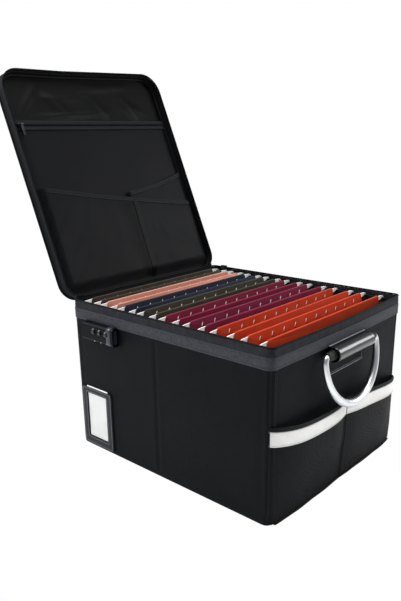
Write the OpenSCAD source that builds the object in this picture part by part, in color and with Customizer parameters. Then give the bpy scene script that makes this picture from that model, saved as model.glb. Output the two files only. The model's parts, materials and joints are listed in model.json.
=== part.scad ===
// Portable file box: a soft-sided box with a zip-round lid, a dial lock, two swinging
// D handles, a mesh pocket, a label holder and hanging folders on two rails.
// Millimetres. The origin is the centre of the underside, +Z is up, the handle end
// with the outside pocket faces +X and the lock faces -Y. The lid stands open.

/* [Box] */
// Length of the box, hinge end to handle end
box_l = 372; // [330:2:420]
// Width of the box across the ends
box_w = 330; // [326:2:380]
// Height from the floor to the zip teeth
box_h = 240; // [232:2:300]
// Radius of the four upright corners
corner_r = 9; // [7:0.5:14]
// Radius where the walls turn under the floor
bottom_r = 5; // [3:0.5:6]
// Thickness of the outer cloth
cloth_t = 1.2; // [0.8:0.1:2]
// Thickness of the stiffening boards
board_t = 3; // [2:0.5:5]
// Thickness of the lining cloth
lining_t = 0.8; // [0.5:0.1:1.2]
// Gap between the two halves of a long wall's board, where the box folds flat
crease_gap = 3; // [1:0.5:6]

/* [Rim and zip] */
// Height of the band sewn round the rim
band_h = 18; // [12:1:24]
// Thickness of that band
band_t = 1.3; // [0.8:0.1:2]
// Height of the zip tape above the band, teeth included
tape_h = 8; // [6:0.5:11]
// Thickness of the zip tape
tape_t = 1; // [0.6:0.1:1.5]
// Thickness of the coil of teeth
teeth_d = 2.6; // [2:0.1:3.2]
// Gap between the two rows of teeth with the lid laid shut
teeth_gap = 1.6; // [1:0.1:2.4]

/* [Lid] */
// How far the lid stands open from shut
lid_open = 113; // [95:1:118]
// Depth of the lid's tray
lid_depth = 23; // [22:0.5:32]
// How far the lid reaches past the box on each long side
lid_side_over = 5; // [2:0.5:8]
// How far the lid reaches past the box at the handle end
lid_front_over = 9; // [4:0.5:12]
// Radius of the lid's corners
lid_corner_r = 27; // [16:1:40]
// Radius of the piping round the lid's edge
piping_r = 2; // [1.2:0.1:2.6]

/* [Lid pockets] */
// Thickness of the pocket mesh and its hems
mesh_t = 0.6; // [0.5:0.1:1]
// Clear depth inside each pocket
pocket_gap = 4.2; // [4.1:0.1:4.6]
// Distance of the pocket zip from the lid's free end
pocket_zip_in = 93; // [70:1:130]
// Width of that zip's tape
pocket_tape_w = 16; // [12:1:24]
// Width and height of its closed row of teeth
pocket_teeth = [3.2, 1.4];
// Distance of the slip pockets' crossing seam from the lid's middle
pocket_seam = 28; // [0:1:60]
// Height of the front pocket's mouth at the lock side and at the far side
front_mouth = [182, 130];
// Height of the rear pocket's mouth at the middle seam and at the far side
rear_mouth = [162, 192];

/* [Hanging folders] */
// Number of hanging folders
folder_n = 8; // [8]
// Height of the rods' middles below the teeth
rod_below = 6; // [5:0.5:10]
// Distance of the first rod from the inside of the hinge end
rod_start = 9; // [9:0.5:12]
// Rail left free at the handle end
rail_free = 20.8; // [16:0.2:60]
// How much each further gap between rods is wider than the one before
rod_growth = 0.55; // [0.3:0.05:0.6]
// How much wider a folder hangs open than the rods' even spacing
folder_open = 3.5; // [0:0.5:4]
// Height of a rod's strip
rod_h = 6; // [5:0.5:8]
// Thickness of a rod's strip
rod_t = 1.4; // [1:0.1:2]
// Thickness of the folder card
leaf_t = 0.6; // [0.5:0.1:1]
// Gap between a folder's leaves and the lining on each side
leaf_side = 12; // [11:1:20]
// Gap between a folder's fold and the floor panel
fold_clear = 11; // [8:1:60]
// Height of the hem folded over a rod
leaf_hem = 17; // [14:0.5:22]
// Height and angle of the slants cut from the leaves' top corners
leaf_slant = [24, 14];
// Tab slots along a hem
slot_n = 10; // [4:1:12]
// Width and height of a tab slot
slot_size = [1.6, 7];
// Distance of the outer slots from the leaf's edges
slot_in = 30; // [20:1:50]

/* [Rails] */
// Height of a rail
rail_h = 14; // [12:0.5:18]
// Thickness of a rail
rail_t = 2; // [1.5:0.1:2.5]
// Gap between a rail and the lining behind it
rail_gap = 3.6; // [3.4:0.1:5]
// Side play of a hook over its rail
hook_play = 0.6; // [0.4:0.1:1]
// Depth of the notch that drops over the rail, and how far the hook ends short of the lining
hook_depth = 3.5; // [3:0.5:6]
hook_short = 1; // [0.6:0.1:2]
// Length and height of the clips that hold the rails, and how much of a rail they grip
clip_l = 16; // [10:1:24]
clip_h = 13; // [10:1:18]
clip_grip = 6; // [4:0.5:8]
// Thickness of a clip's lip in front of its rail
clip_lip = 1.8; // [1.2:0.1:2.5]

/* [Handles] */
// Distance between the two legs of a handle
ring_w = 134; // [110:1:150]
// Thickness of the handle bar at its pins
ring_d = 8.5; // [7:0.5:10]
// Thickness of the bar at its foot, where a hand holds it
grip_d = 11.5; // [8:0.5:13]
// Straight part of a leg below the pivot
ring_leg = 10; // [6:1:40]
// How far the pivot stands off the wall
pivot_out = 14; // [10:0.5:16]
// Height of the pivot below the teeth
pivot_below = 38; // [36:0.5:60]
// Length of the sleeve over the pivot
sleeve_l = 104; // [80:1:112]
// Diameter of the sleeve
sleeve_d = 14; // [12:0.5:16]
// Thickness of the strap round the sleeve, and the length sewn down below it
strap_t = 1.8; // [1:0.1:2.4]
strap_tail = 24; // [14:1:40]
// Diameter of the pins that the handle turns on, and their length from the legs' middles
pin_d = 6; // [4:0.5:7]
pin_l = 37; // [20:1:50]
// Gap all round a pin in its bore
pin_play = 0.1; // [0.05:0.01:0.1]
// How far a hanging handle leans out at its foot
ring_lean = 6; // [5:0.5:10]

/* [End pocket] */
// How far each half of the outside pocket bulges
bulge = 12; // [8:0.5:13]
// How far the pocket's upper edge lies below the teeth at the near corner, middle and far corner
pocket_drop = [108, 130, 132];
// Sag of that edge in each half
pocket_sag = 3; // [0:0.5:5]
// Height of the pale band along the pocket
pale_h = 20; // [14:1:28]
// Thickness of the pale band
pale_t = 1; // [0.6:0.1:1.4]
// Height of the dark binding above it
binding_h = 4; // [3:0.5:8]

/* [Lock] */
// Width, depth and height of the lock's housing
lock_size = [70, 11.5, 28];
// Distance of the lock's middle from the hinge end
lock_in = 66; // [60:1:90]
// Gap between the lock and the band above it
lock_under = 2; // [0.5:0.5:10]
// Diameter of a dial
dial_d = 13; // [12:0.5:14]
// Width of a dial
dial_w = 5; // [4:0.5:6]
// Distance between the dials
dial_step = 14; // [12:0.5:16]
// Diameter of the dials' shaft
shaft_d = 3; // [2.5:0.1:3.5]
// Gap all round the shaft
shaft_play = 0.06; // [0.03:0.01:0.1]
// How far the shaft reaches past the outer dials
shaft_over = 4; // [3:0.5:5]
// Gap all round a dial in its window
dial_play = 0.6; // [0.4:0.1:0.8]
// Depth of the button's socket
socket_l = 7; // [6:0.5:8]
// Travel of the release button
button_travel = 2.5; // [1.5:0.1:3.5]

/* [Label holder] */
// Width and height of the label holder
holder_size = [68, 95];
// Width and height of its window
window_size = [45, 74];
// Distance of the holder's middle from the hinge end
holder_in = 44; // [40:1:90]
// Height of the holder's lower edge
holder_z = 6; // [6:1:60]
// Thickness of the card
card_t = 0.5; // [0.4:0.1:0.8]

/* [Zip sliders] */
// Distance of the parked lid slider from the hinge end
slider_in = 24; // [20:1:60]
// Length of the lid zip's slider and of the pocket zip's
slider_l = 13; // [10:0.5:16]
pocket_slider_l = 10; // [8:0.5:12]
// Thickness of a slider's plates
slider_t = 1.2; // [0.8:0.1:1.5]
// Gap between a slider and its teeth
slider_play = 0.3; // [0.2:0.05:0.4]
// How far the lid slider's sides reach below the teeth
slider_skirt = 2; // [1:0.1:2.5]
// Radius of the bar that a pull hangs from
bar_r = 0.8; // [0.6:0.05:1]
// Gap all round that bar in the pull's eye
eye_play = 0.08; // [0.03:0.01:0.1]
// Width of the eye
eye_w = 4.4; // [3:0.1:5]
// Thickness of a pull
pull_t = 1.5; // [1:0.1:1.8]
// Length and width of the lid zip's pull and of the pocket zip's
pull_size = [25, 8];
pocket_pull_size = [18, 5];
// Distance of the parked pocket slider from the lid's side
pocket_slider_in = 16; // [14:1:40]

/* [Hidden] */
$fn = 48;
FINE = 360;
EPS = 0.01;

wall_t = cloth_t + board_t + lining_t;
band_top = box_h - tape_h;
band_bottom = band_top - band_h;
inner_l = box_l - 2 * wall_t;
inner_w = box_w - 2 * wall_t;

lid_l = box_l + lid_front_over;
lid_w = box_w + 2 * lid_side_over;
lid_tape_top = teeth_gap + tape_h;
lid_inset = cloth_t + 0.3;
pocket_inset = lid_inset + lining_t + 0.2;
lining_at = lid_depth - cloth_t - board_t - lining_t;
mesh_at = lining_at - pocket_gap - mesh_t;
rear_at = mesh_at - pocket_gap - mesh_t;
front_at = rear_at - pocket_gap - mesh_t;
pocket_zip_at = lid_l - pocket_zip_in;
pocket_lap = 8;

rod_z = box_h - rod_below;
rail_y = inner_w / 2 - rail_gap - rail_t / 2;
rail_seat = 1.2;
rail_top = rod_z - rail_seat;
hook_end = inner_w / 2 - hook_short;
rod_gaps = 2 * folder_n - 1;
rod_spread = inner_l - rod_start - rail_free;
rod_step = (rod_spread - rod_gaps * (rod_gaps - 1) / 2 * rod_growth) / rod_gaps;
rods = [for (k = [0:rod_gaps])
    -inner_l / 2 + rod_start + k * rod_step + k * (k - 1) / 2 * rod_growth + k % 2 * folder_open];
leaf_w = inner_w - 2 * leaf_side;
fold_z = wall_t + fold_clear;
folder_colours = ["#3a3025", "#d9836f", "#20263a", "#4a3f2a", "#5c1a2a", "#6b1f33", "#d8431c", "#dd4a1f"];

pivot_z = box_h - pivot_below;
pivot_x = box_l / 2 + pivot_out;

pocket_foot = 4;
pocket_half = box_w / 4 - 3;
pocket_r = (pocket_half * pocket_half + bulge * bulge) / (2 * bulge);

lock_at = -box_l / 2 + lock_in;
lock_z = band_bottom - lock_under - lock_size[2] / 2;
dial_proud = 2;
dial_y = box_w / 2 + lock_size[1] + dial_proud - dial_d / 2;
dial_z = lock_z + 3;
dial_x = [for (k = [-1:1]) lock_at + 6 + k * dial_step];
shaft_end = dial_w / 2 + shaft_over;

holder_at = -box_l / 2 + holder_in;
card_gap = 0.25;
channel_t = card_t + 0.9;
channel_w = window_size[0] + 6;
channel_z = 7;

bail_l = 8;
bail_post = 1.3;
eye_r = bar_r + eye_play + 0.8;
bar_out = eye_r + 0.4;
slider_x = -box_l / 2 + slider_in;
slider_y = box_w / 2 - tape_t / 2;
slider_face = teeth_d / 2 + slider_play + slider_t;
pocket_slider_y = -lid_w / 2 + pocket_slider_in;
pocket_face = pocket_teeth[1] + slider_play + slider_t;

// Helpers

// A flat plate with rounded corners, centred in X and Y, standing on z = 0
module round_plate(l, w, r, h) {
    linear_extrude(h) round_rect(l, w, r);
}

module round_rect(l, w, r) {
    square([l - 2 * r, w], center = true);
    square([l, w - 2 * r], center = true);
    for (x = [-1, 1], y = [-1, 1])
        translate([x * (l / 2 - r), y * (w / 2 - r)]) circle(r);
}

// An upright ring whose outside is l by w
module round_ring(l, w, r, t, h) {
    difference() {
        round_plate(l, w, r, h);
        translate([0, 0, -1]) round_plate(l - 2 * t, w - 2 * t, max(r - t, 0.5), h + 2);
    }
}

// Carries a flat profile along the two long sides and the +X end of an l by w outline
// and stops cut short of the -X end. The profile's X is measured outwards from the
// outline and its Y is up.
module run_round(l, w, r, cut) {
    for (s = [-1, 1])
        translate([-l / 2 + cut, s * w / 2, 0]) rotate([90, 0, 90])
            linear_extrude(l - cut - r) mirror([s < 0 ? 1 : 0, 0]) children();
    translate([l / 2, w / 2 - r, 0]) rotate([90, 0, 0]) linear_extrude(w - 2 * r) children();
    for (s = [-1, 1])
        translate([l / 2 - r, s * (w / 2 - r), 0]) rotate([0, 0, s > 0 ? 0 : -90])
            rotate_extrude(angle = 90) translate([r, 0]) children();
}

// The same, all the way round
module run_whole(l, w, r) {
    for (s = [-1, 1]) {
        translate([-l / 2 + r, s * w / 2, 0]) rotate([90, 0, 90])
            linear_extrude(l - 2 * r) mirror([s < 0 ? 1 : 0, 0]) children();
        translate([s * l / 2, -s * (w / 2 - r), 0]) rotate([90, 0, s > 0 ? 0 : 180]) mirror([0, 0, 1])
            linear_extrude(w - 2 * r) children();
    }
    for (k = [0:3])
        translate([(k == 0 || k == 3 ? 1 : -1) * (l / 2 - r), (k < 2 ? 1 : -1) * (w / 2 - r), 0])
            rotate([0, 0, 90 * k]) rotate_extrude(angle = 90) translate([r, 0]) children();
}

// Puts a piece drawn on the shut lid, with the hinge line along Y at its origin, on the open lid
module on_lid() {
    translate([-box_l / 2, 0, box_h]) rotate([0, -lid_open, 0]) children();
}

// The box

// The sewn outer cloth: an open box with rounded upright corners and a rounded foot
module outer_shell() {
    color("#17181a") difference() {
        intersection() {
            round_plate(box_l, box_w, corner_r, band_top);
            foot_round(box_l, box_w, bottom_r);
            rotate([0, 0, 90]) foot_round(box_w, box_l, bottom_r);
        }
        translate([0, 0, cloth_t])
            round_plate(box_l - 2 * cloth_t, box_w - 2 * cloth_t, corner_r - cloth_t, band_top);
    }
}

// A block along Y whose two lower edges are rounded
module foot_round(l, w, r) {
    translate([0, w / 2 + 1, 0]) rotate([90, 0, 0]) linear_extrude(w + 2) {
        translate([-l / 2, r]) square([l, band_top]);
        translate([-l / 2 + r, 0]) square([l - 2 * r, r + 1]);
        for (s = [-1, 1]) translate([s * (l / 2 - r), r]) circle(r);
    }
}

// The loose stiff floor, with the two finger notches it is lifted out by
module base_panel() {
    panel_l = inner_l - 1;
    panel_w = inner_w - 1;
    color("#202124") translate([0, 0, cloth_t]) difference() {
        round_plate(panel_l, panel_w, 3, board_t + lining_t);
        for (s = [-1, 1]) translate([s * panel_l / 2, 0, -1]) cylinder(d = 24, h = board_t + lining_t + 2);
    }
}

// Stiff boards inside the walls; the long ones are in two halves so that the box folds flat
module wall_boards() {
    board_z = cloth_t + board_t + lining_t + 0.2;
    board_h = band_top - board_z - 1;
    half_l = box_l / 2 - corner_r - crease_gap / 2;
    color("#8a8780") {
        for (sx = [-1, 1], sy = [-1, 1])
            translate([
                sx > 0 ? crease_gap / 2 : -crease_gap / 2 - half_l,
                sy > 0 ? box_w / 2 - cloth_t - board_t : -box_w / 2 + cloth_t, board_z
            ]) cube([half_l, board_t, board_h]);
        for (s = [-1, 1])
            translate([
                s > 0 ? box_l / 2 - cloth_t - board_t : -box_l / 2 + cloth_t,
                -box_w / 2 + corner_r, board_z
            ]) cube([board_t, box_w - 2 * corner_r, board_h]);
    }
}

module lining() {
    low = cloth_t + board_t + lining_t + 0.2;
    color("#222326") translate([0, 0, low])
        round_ring(inner_l + 2 * lining_t, inner_w + 2 * lining_t, corner_r - cloth_t - board_t + 1, lining_t,
            band_top - low);
}

// Webbing sewn round the rim, rounded over at its lower edge
module rim_band() {
    color("#2b2c2f") translate([0, 0, band_bottom]) run_whole(box_l, box_w, corner_r) band_profile();
}

module band_profile() {
    translate([0, band_t / 2]) square([band_t, band_h - band_t / 2]);
    difference() {
        translate([band_t / 2, band_t / 2]) circle(band_t / 2);
        translate([-band_t, 0]) square([band_t, band_t]);
    }
    square([band_t / 2, band_t]);
}

module body_zip_tape() {
    color("#26272a") translate([0, 0, band_top])
        run_round(box_l, box_w, corner_r, corner_r) translate([-tape_t, 0])
            square([tape_t, tape_h - teeth_d]);
}

module body_zip_teeth() {
    color("#111214") translate([0, 0, box_h - teeth_d])
        run_round(box_l, box_w, corner_r, corner_r) teeth_profile();
}

// The coil's section: a rounded bead over the tape's edge
module teeth_profile() {
    translate([-tape_t / 2 - teeth_d / 2 + 0.6, 0]) square([teeth_d - 1.2, teeth_d]);
    translate([-tape_t / 2 - teeth_d / 2, 0.6]) square([teeth_d, teeth_d - 1.2]);
    for (x = [-1, 1], y = [0.6, teeth_d - 0.6])
        translate([-tape_t / 2 + x * (teeth_d / 2 - 0.6), y]) circle(0.6);
}

// Rails and folders

// Steel strips that the hooks ride on, with their ends rounded off
module hanging_rails() {
    rail_l = inner_l - 6;
    color("#9a9da1") for (s = [-1, 1])
        translate([0, s * rail_y + rail_t / 2, rail_top - rail_h / 2]) rotate([90, 0, 0])
            linear_extrude(rail_t) round_rect(rail_l, rail_h, 2);
}

// Moulded saddles on the wall that grip the rails' lower edges, bevelled below
module rail_clips() {
    clip_z = rail_top - rail_h + clip_grip - clip_h;
    reach = inner_w / 2 - rail_y + rail_t / 2 + clip_lip;
    bevel = 4;
    color("#141517") for (s = [0, 1], x = [-inner_l / 2 + 14, 0, inner_l / 2 - 14]) mirror([0, s, 0])
        translate([x - clip_l / 2, inner_w / 2 - reach, clip_z]) difference() {
            rotate([90, 0, 90]) linear_extrude(clip_l)
                polygon([[0, bevel], [bevel, 0], [reach, 0], [reach, clip_h], [0, clip_h]]);
            translate([-1, clip_lip, clip_h - clip_grip]) cube([clip_l + 2, rail_t, rail_h]);
        }
}

// One folder: two leaves from the rods down to a shared fold, each with its top folded
// over its rod into a hem on the inside, where the tab slots are
module folder(k) {
    half = (rods[2 * k + 1] - rods[2 * k]) / 2;
    color(folder_colours[k]) translate([rods[2 * k] + half, 0, 0]) difference() {
        translate([0, leaf_w / 2, 0]) rotate([90, 0, 0]) linear_extrude(leaf_w) folder_profile(half);
        for (s = [0, 1]) {
            mirror([0, s, 0]) leaf_corner();
            mirror([s, 0, 0]) slots(half);
        }
    }
}

// The V of a folder seen from its side: half is half the gap between its rods
module folder_profile(half) {
    roll_r = rod_t / 2 + 0.2 + leaf_t;
    drop = rod_z - fold_z;
    tilt = atan((half - leaf_t) / drop);
    leaf_l = drop / cos(tilt) - leaf_t;
    for (s = [0, 1]) mirror([s, 0]) translate([half, rod_z]) rotate(-tilt) {
        roll(roll_r);
        translate([roll_r - leaf_t, -leaf_l]) square([leaf_t, leaf_l + rod_h / 2]);
        translate([-roll_r, rod_h / 2 - leaf_hem]) square([leaf_t, leaf_hem]);
    }
    translate([-2.2, fold_z - 0.2]) square([4.4, 1.2]);
}

// The rounded top of a leaf, over the rod's upper edge
module roll(r) {
    translate([0, rod_h / 2]) difference() {
        circle(r);
        circle(r - leaf_t);
        translate([-r - 1, -r - 1]) square([2 * r + 2, r + 1]);
    }
}

// Takes the slanted corner off the top of the leaves at +Y
module leaf_corner() {
    translate([-50, leaf_w / 2, rod_z - leaf_slant[0]]) rotate([leaf_slant[1], 0, 0]) cube([100, 40, 60]);
}

// The tab slots through the hem that hangs inside the rod at +X
module slots(half) {
    first = -leaf_w / 2 + slot_in;
    step = (leaf_w - 2 * slot_in) / (slot_n - 1);
    for (k = [0:slot_n - 1])
        translate([half - 3, first + k * step - slot_size[0] / 2, rod_z - rod_h / 2 - slot_size[1]])
            cube([2.6, slot_size[0], slot_size[1]]);
}

// Two flat rods with a hook at each end that drops over the rails
module folder_rods(k) {
    color("#e9e9e6") for (x = [rods[2 * k], rods[2 * k + 1]])
        translate([x - rod_t / 2, 0, rod_z]) rotate([90, 0, 90]) linear_extrude(rod_t) {
            square([2 * (leaf_w / 2 - 6), rod_h], center = true);
            for (s = [0, 1]) mirror([s, 0]) hook();
        }
}

// A hook's outline: it widens past the leaf, is notched over the rail and ends in a round nose
module hook() {
    root = leaf_w / 2 - 8;
    notch = rail_t + 2 * hook_play;
    tip_z = -hook_depth - rail_seat;
    nose = hook_end - 2.4;
    difference() {
        union() {
            polygon([
                [root, -rod_h / 2], [rail_y - notch / 2 - 3, -rod_h / 2 - 1.5],
                [rail_y - notch / 2 - 1, tip_z], [nose, tip_z], [hook_end, tip_z + 2.4],
                [hook_end, 1.2], [nose, rod_h / 2 - 0.8], [rail_y - 6, rod_h / 2], [root, rod_h / 2]
            ]);
            translate([nose, 0.8]) circle(1.8);
        }
        translate([rail_y - notch / 2, tip_z - 1]) square([notch, hook_depth + 1]);
    }
}

// The lock

// A moulded bar with a rounded front: open windows for the dials, a socket for the button
// and a slot in its top for the zip's tab
module lock_housing() {
    l = lock_size[0];
    cover = lock_size[1];
    side = 0.4;
    tab_slot = [9, 3, 10];
    color("#2a2f38") difference() {
        translate([lock_at - l / 2, 0, lock_z]) rotate([90, 0, 90]) linear_extrude(l) lock_profile();
        for (x = dial_x) translate([x - dial_w / 2 - side, -dial_y, dial_z]) rotate([0, 90, 0])
            cylinder(r = dial_d / 2 + dial_play, h = dial_w + 2 * side);
        translate([dial_x[0] - shaft_end - side, -dial_y, dial_z]) rotate([0, 90, 0])
            cylinder(r = shaft_d / 2 + shaft_play, h = 2 * (dial_step + shaft_end + side));
        translate([lock_at + l / 2 - socket_l, -box_w / 2 - cover / 2, lock_z]) rotate([90, 0, 90])
            linear_extrude(socket_l + 1) button_outline(0.25);
        translate([lock_at - l / 2 + 6, -box_w / 2 - 5, lock_z + lock_size[2] / 2 - 9]) cube(tab_slot);
    }
}

// Section of the housing: flat back, full round front corners
module lock_profile() {
    h = lock_size[2];
    d = lock_size[1];
    r = d / 2 - 0.2;
    translate([-box_w / 2 - d + r, -h / 2]) square([d - r, h]);
    translate([-box_w / 2 - d, -h / 2 + r]) square([d, h - 2 * r]);
    for (s = [-1, 1]) translate([-box_w / 2 - d + r, s * (h / 2 - r)]) circle(r);
}

// Outline of the button: a slot shape, grown by g
module button_outline(g) {
    r = 2.9 + g;
    reach = lock_size[2] / 2 - 7;
    translate([-r, -reach]) square([2 * r, 2 * reach]);
    for (s = [-1, 1]) translate([0, s * reach]) circle(r);
}

// A dial: finger notches between its ten places, bored for the shaft
module lock_dial(k) {
    color("#15161a") translate([dial_x[k] - dial_w / 2, -dial_y, dial_z]) rotate([0, 90, 0]) difference() {
        cylinder(d = dial_d, h = dial_w);
        translate([0, 0, -1]) cylinder(r = shaft_d / 2 + shaft_play, h = dial_w + 2);
        for (a = [0:36:324]) rotate([0, 0, a + 18]) translate([dial_d / 2 + 0.35, 0, -1])
            cylinder(d = 1.6, h = dial_w + 2);
    }
}

module lock_dial_shaft() {
    color("#b9bcc0") translate([dial_x[0] - shaft_end, -dial_y, dial_z]) rotate([0, 90, 0])
        cylinder(d = shaft_d, h = 2 * (dial_step + shaft_end));
}

// The button and its raised pad
module lock_button() {
    inner_x = lock_at + lock_size[0] / 2 - socket_l + button_travel + 0.1;
    body_l = socket_l - button_travel - 0.1;
    color("#1c2028") translate([inner_x, -box_w / 2 - lock_size[1] / 2, lock_z]) rotate([90, 0, 90]) {
        linear_extrude(body_l) button_outline(0);
        translate([0, 0, body_l]) linear_extrude(1) button_outline(-0.8);
    }
}

// The plate inside the wall that the housing is riveted to, with its two rivets
module lock_back_plate() {
    plate_y = -box_w / 2 + wall_t;
    color("#9a9da1") {
        translate([lock_at, plate_y + 1, lock_z]) rotate([90, 0, 0]) linear_extrude(1)
            round_rect(lock_size[0] - 8, lock_size[2] - 8, 4);
        for (x = [lock_at - 26, lock_at + 22]) translate([x, plate_y + 1, lock_z - 6]) rotate([-90, 0, 0])
            cylinder(d = 5, h = 0.8);
    }
}

// The label holder

// A sewn frame: a window in front and a channel behind it, open at the top
module label_frame() {
    w = holder_size[0];
    h = holder_size[1];
    window_top = h / 2 - 8;
    color("#121315") translate([holder_at, -box_w / 2, holder_z]) rotate([90, 0, 0]) difference() {
        translate([0, h / 2, 0]) linear_extrude(channel_t + cloth_t) difference() {
            round_rect(w, h, 3);
            translate([0, window_top - window_size[1] / 2]) round_rect(window_size[0], window_size[1], 1.5);
        }
        translate([-channel_w / 2, channel_z, -1]) cube([channel_w, h, channel_t + 1]);
    }
}

// The clear film behind the window
module label_window() {
    w = channel_w - 0.4;
    color([0.85, 0.9, 0.95, 0.35])
        translate([holder_at - w / 2, -box_w / 2 - channel_t, holder_z + channel_z + 0.2])
            cube([w, 0.3, holder_size[1] - channel_z - 2]);
}

// The card, which stands a little above the holder
module label_card() {
    w = channel_w - 2;
    color("#f4f4f2")
        translate([holder_at - w / 2, -box_w / 2 - card_gap - card_t, holder_z + channel_z + 0.4])
            cube([w, card_t, holder_size[1] - channel_z + 1.8]);
}

// The handles

// The strap that holds a sleeve: a band sewn down above and below and turned round it
module handle_straps() {
    for (s = [0, 1]) mirror([s, 0, 0]) color("#1a1b1d") handle_strap();
}

module handle_strap() {
    t = strap_t;
    r = sleeve_d / 2 + 0.1;
    strap_w = sleeve_l - 10;
    translate([0, strap_w / 2, 0]) rotate([90, 0, 0]) linear_extrude(strap_w) {
        translate([pivot_x, pivot_z]) difference() {
            circle(r + t);
            circle(r);
            translate([-2 * r, -2 * r]) square([2 * r, 4 * r]);
        }
        for (side = [-1, 1])
            translate([box_l / 2 + t, pivot_z + (side > 0 ? r : -r - t)]) square([pivot_out - t, t]);
        translate([box_l / 2, pivot_z - r - strap_tail]) square([t, strap_tail]);
        translate([box_l / 2, pivot_z + r]) square([t, band_bottom - pivot_z - r]);
    }
}

// The sleeve and its two collars, bored for the handle's pins
module handle_sleeves() {
    for (s = [0, 1]) mirror([s, 0, 0]) color("#0e0f11") handle_sleeve();
}

module handle_sleeve() {
    collar = (ring_w - ring_d - sleeve_l) / 2 - 1;
    translate([pivot_x, 0, pivot_z]) rotate([-90, 0, 0]) difference() {
        union() {
            translate([0, 0, -sleeve_l / 2]) cylinder(d = sleeve_d, h = sleeve_l);
            for (m = [0, 1]) mirror([0, 0, m]) translate([0, 0, sleeve_l / 2])
                cylinder(d1 = sleeve_d - 1, d2 = ring_d + 2, h = collar);
        }
        translate([0, 0, -ring_w / 2]) cylinder(r = pin_d / 2 + pin_play, h = ring_w);
    }
}

// A bent bar: two legs that thicken into a half-round foot, and two pins turned in at the top
module ring(side) {
    bend_over = 0.4;
    color("#c9ccd0") mirror([side, 0, 0]) translate([pivot_x, 0, pivot_z]) rotate([0, -ring_lean, 0]) {
        ring_bar();
        for (s = [-1, 1]) translate([0, s * ring_w / 2, 0]) {
            sphere(d = ring_d + bend_over);
            rotate([s * 90, 0, 0]) cylinder(d = pin_d, h = pin_l);
        }
    }
}

// The bar from pivot to pivot, as rings of points along its middle line
module ring_bar() {
    sides = 16;
    bend = 28;
    line = concat([[0, 0]], [for (k = [0:bend]) [ring_leg, 180 * k / bend]], [[0, 180]]);
    rings = [for (at = line) let (
        down = at[0] + sin(at[1]) * ring_w / 2,
        r = (ring_d + (grip_d - ring_d) * down / (ring_leg + ring_w / 2)) / 2
    ) [for (k = [0:sides - 1]) let (a = 360 * k / sides, out = r * sin(a)) [
        r * cos(a), -cos(at[1]) * (ring_w / 2 + out), -at[0] - sin(at[1]) * (ring_w / 2 + out)
    ]]];
    last = len(rings) - 1;
    polyhedron(
        [for (ring = rings) each ring],
        concat(
            [[for (k = [0:sides - 1]) k]],
            [for (j = [0:last - 1], k = [0:sides - 1]) let (n = (k + 1) % sides)
                [j * sides + k, (j + 1) * sides + k, (j + 1) * sides + n, j * sides + n]],
            [[for (k = [sides - 1:-1:0]) last * sides + k]]
        )
    );
}

// The outside pocket at the handle end

// Height of the pocket's upper edge at y
function pocket_top(y) =
    let (u = abs(y) * 2 / box_w, corner = y < 0 ? pocket_drop[0] : pocket_drop[2])
    box_h - pocket_drop[1] + (pocket_drop[1] - corner) * u * u - pocket_sag * 4 * u * (1 - u);

// A wall t thick, grown outwards by g, that bulges over each half of the end
module pocket_wall(g, t) {
    for (s = [-1, 1]) translate([box_l / 2 + bulge - pocket_r, s * (pocket_half + 1.2), 0]) intersection() {
        difference() {
            cylinder(r = pocket_r + g + t, h = band_bottom, $fn = FINE);
            translate([0, 0, -1]) cylinder(r = pocket_r + g, h = band_bottom + 2, $fn = FINE);
        }
        translate([pocket_r - bulge + 0.05, s > 0 ? -pocket_half - 1.2 - EPS : -pocket_half - 4, 0])
            cube([bulge + 10, 2 * pocket_half + 5.2 + EPS, band_bottom]);
    }
}

// Keeps a strip of a wall along the pocket's upper edge, from above it down to below it
module along_edge(above, below) {
    steps = 16;
    h = box_w / 2;
    ys = [for (k = [0:steps]) -h + 2 * h * k / steps];
    translate([box_l / 2 - 4, 0, 0]) rotate([90, 0, 90]) linear_extrude(bulge + 20)
        polygon(concat(
            [for (y = ys) [y, pocket_top(y) + above]],
            [for (k = [steps:-1:0]) [ys[k], max(pocket_top(ys[k]) - below, pocket_foot)]]
        ));
}

module end_pocket() {
    hem = 4;
    color("#1b1c1f") {
        intersection() {
            pocket_wall(0, mesh_t);
            along_edge(hem - pale_h, box_h);
        }
        intersection() {
            translate([0, 0, pocket_foot]) pocket_floor();
            translate([box_l / 2 + 0.05, -box_w, 0]) cube([50, 2 * box_w, 20]);
        }
    }
}

// The gathered foot of the pocket
module pocket_floor() {
    for (s = [-1, 1]) translate([box_l / 2 + bulge - pocket_r, s * (pocket_half + 1.2), 0])
        cylinder(r = pocket_r + mesh_t, h = 1, $fn = FINE);
}

module end_pocket_band() {
    color("#d9d7cf") intersection() {
        pocket_wall(mesh_t + 0.05, pale_t);
        along_edge(0, pale_h);
    }
}

module end_pocket_binding() {
    color("#0f1012") intersection() {
        pocket_wall(0, mesh_t + pale_t);
        along_edge(binding_h, 0);
    }
}

// The zip sliders

// A channel over a row of teeth w wide and h high, along X, open below
module slider_channel(l, w, h) {
    inner = w + 2 * slider_play;
    difference() {
        linear_extrude(h + slider_play + slider_t) round_rect(l, inner + 2 * slider_t, 2);
        translate([-l, -inner / 2, -1]) cube([2 * l, inner, h + slider_play + 1]);
    }
}

// The arch that stands on a slider's face at y = 0, with its round bar along X
module bail() {
    for (x = [-bail_l / 2, bail_l / 2 - bail_post])
        translate([x, 0, -bar_r]) cube([bail_post, bar_out, 2 * bar_r]);
    translate([-bail_l / 2, bar_out, 0]) rotate([0, 90, 0]) cylinder(r = bar_r, h = bail_l);
}

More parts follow.
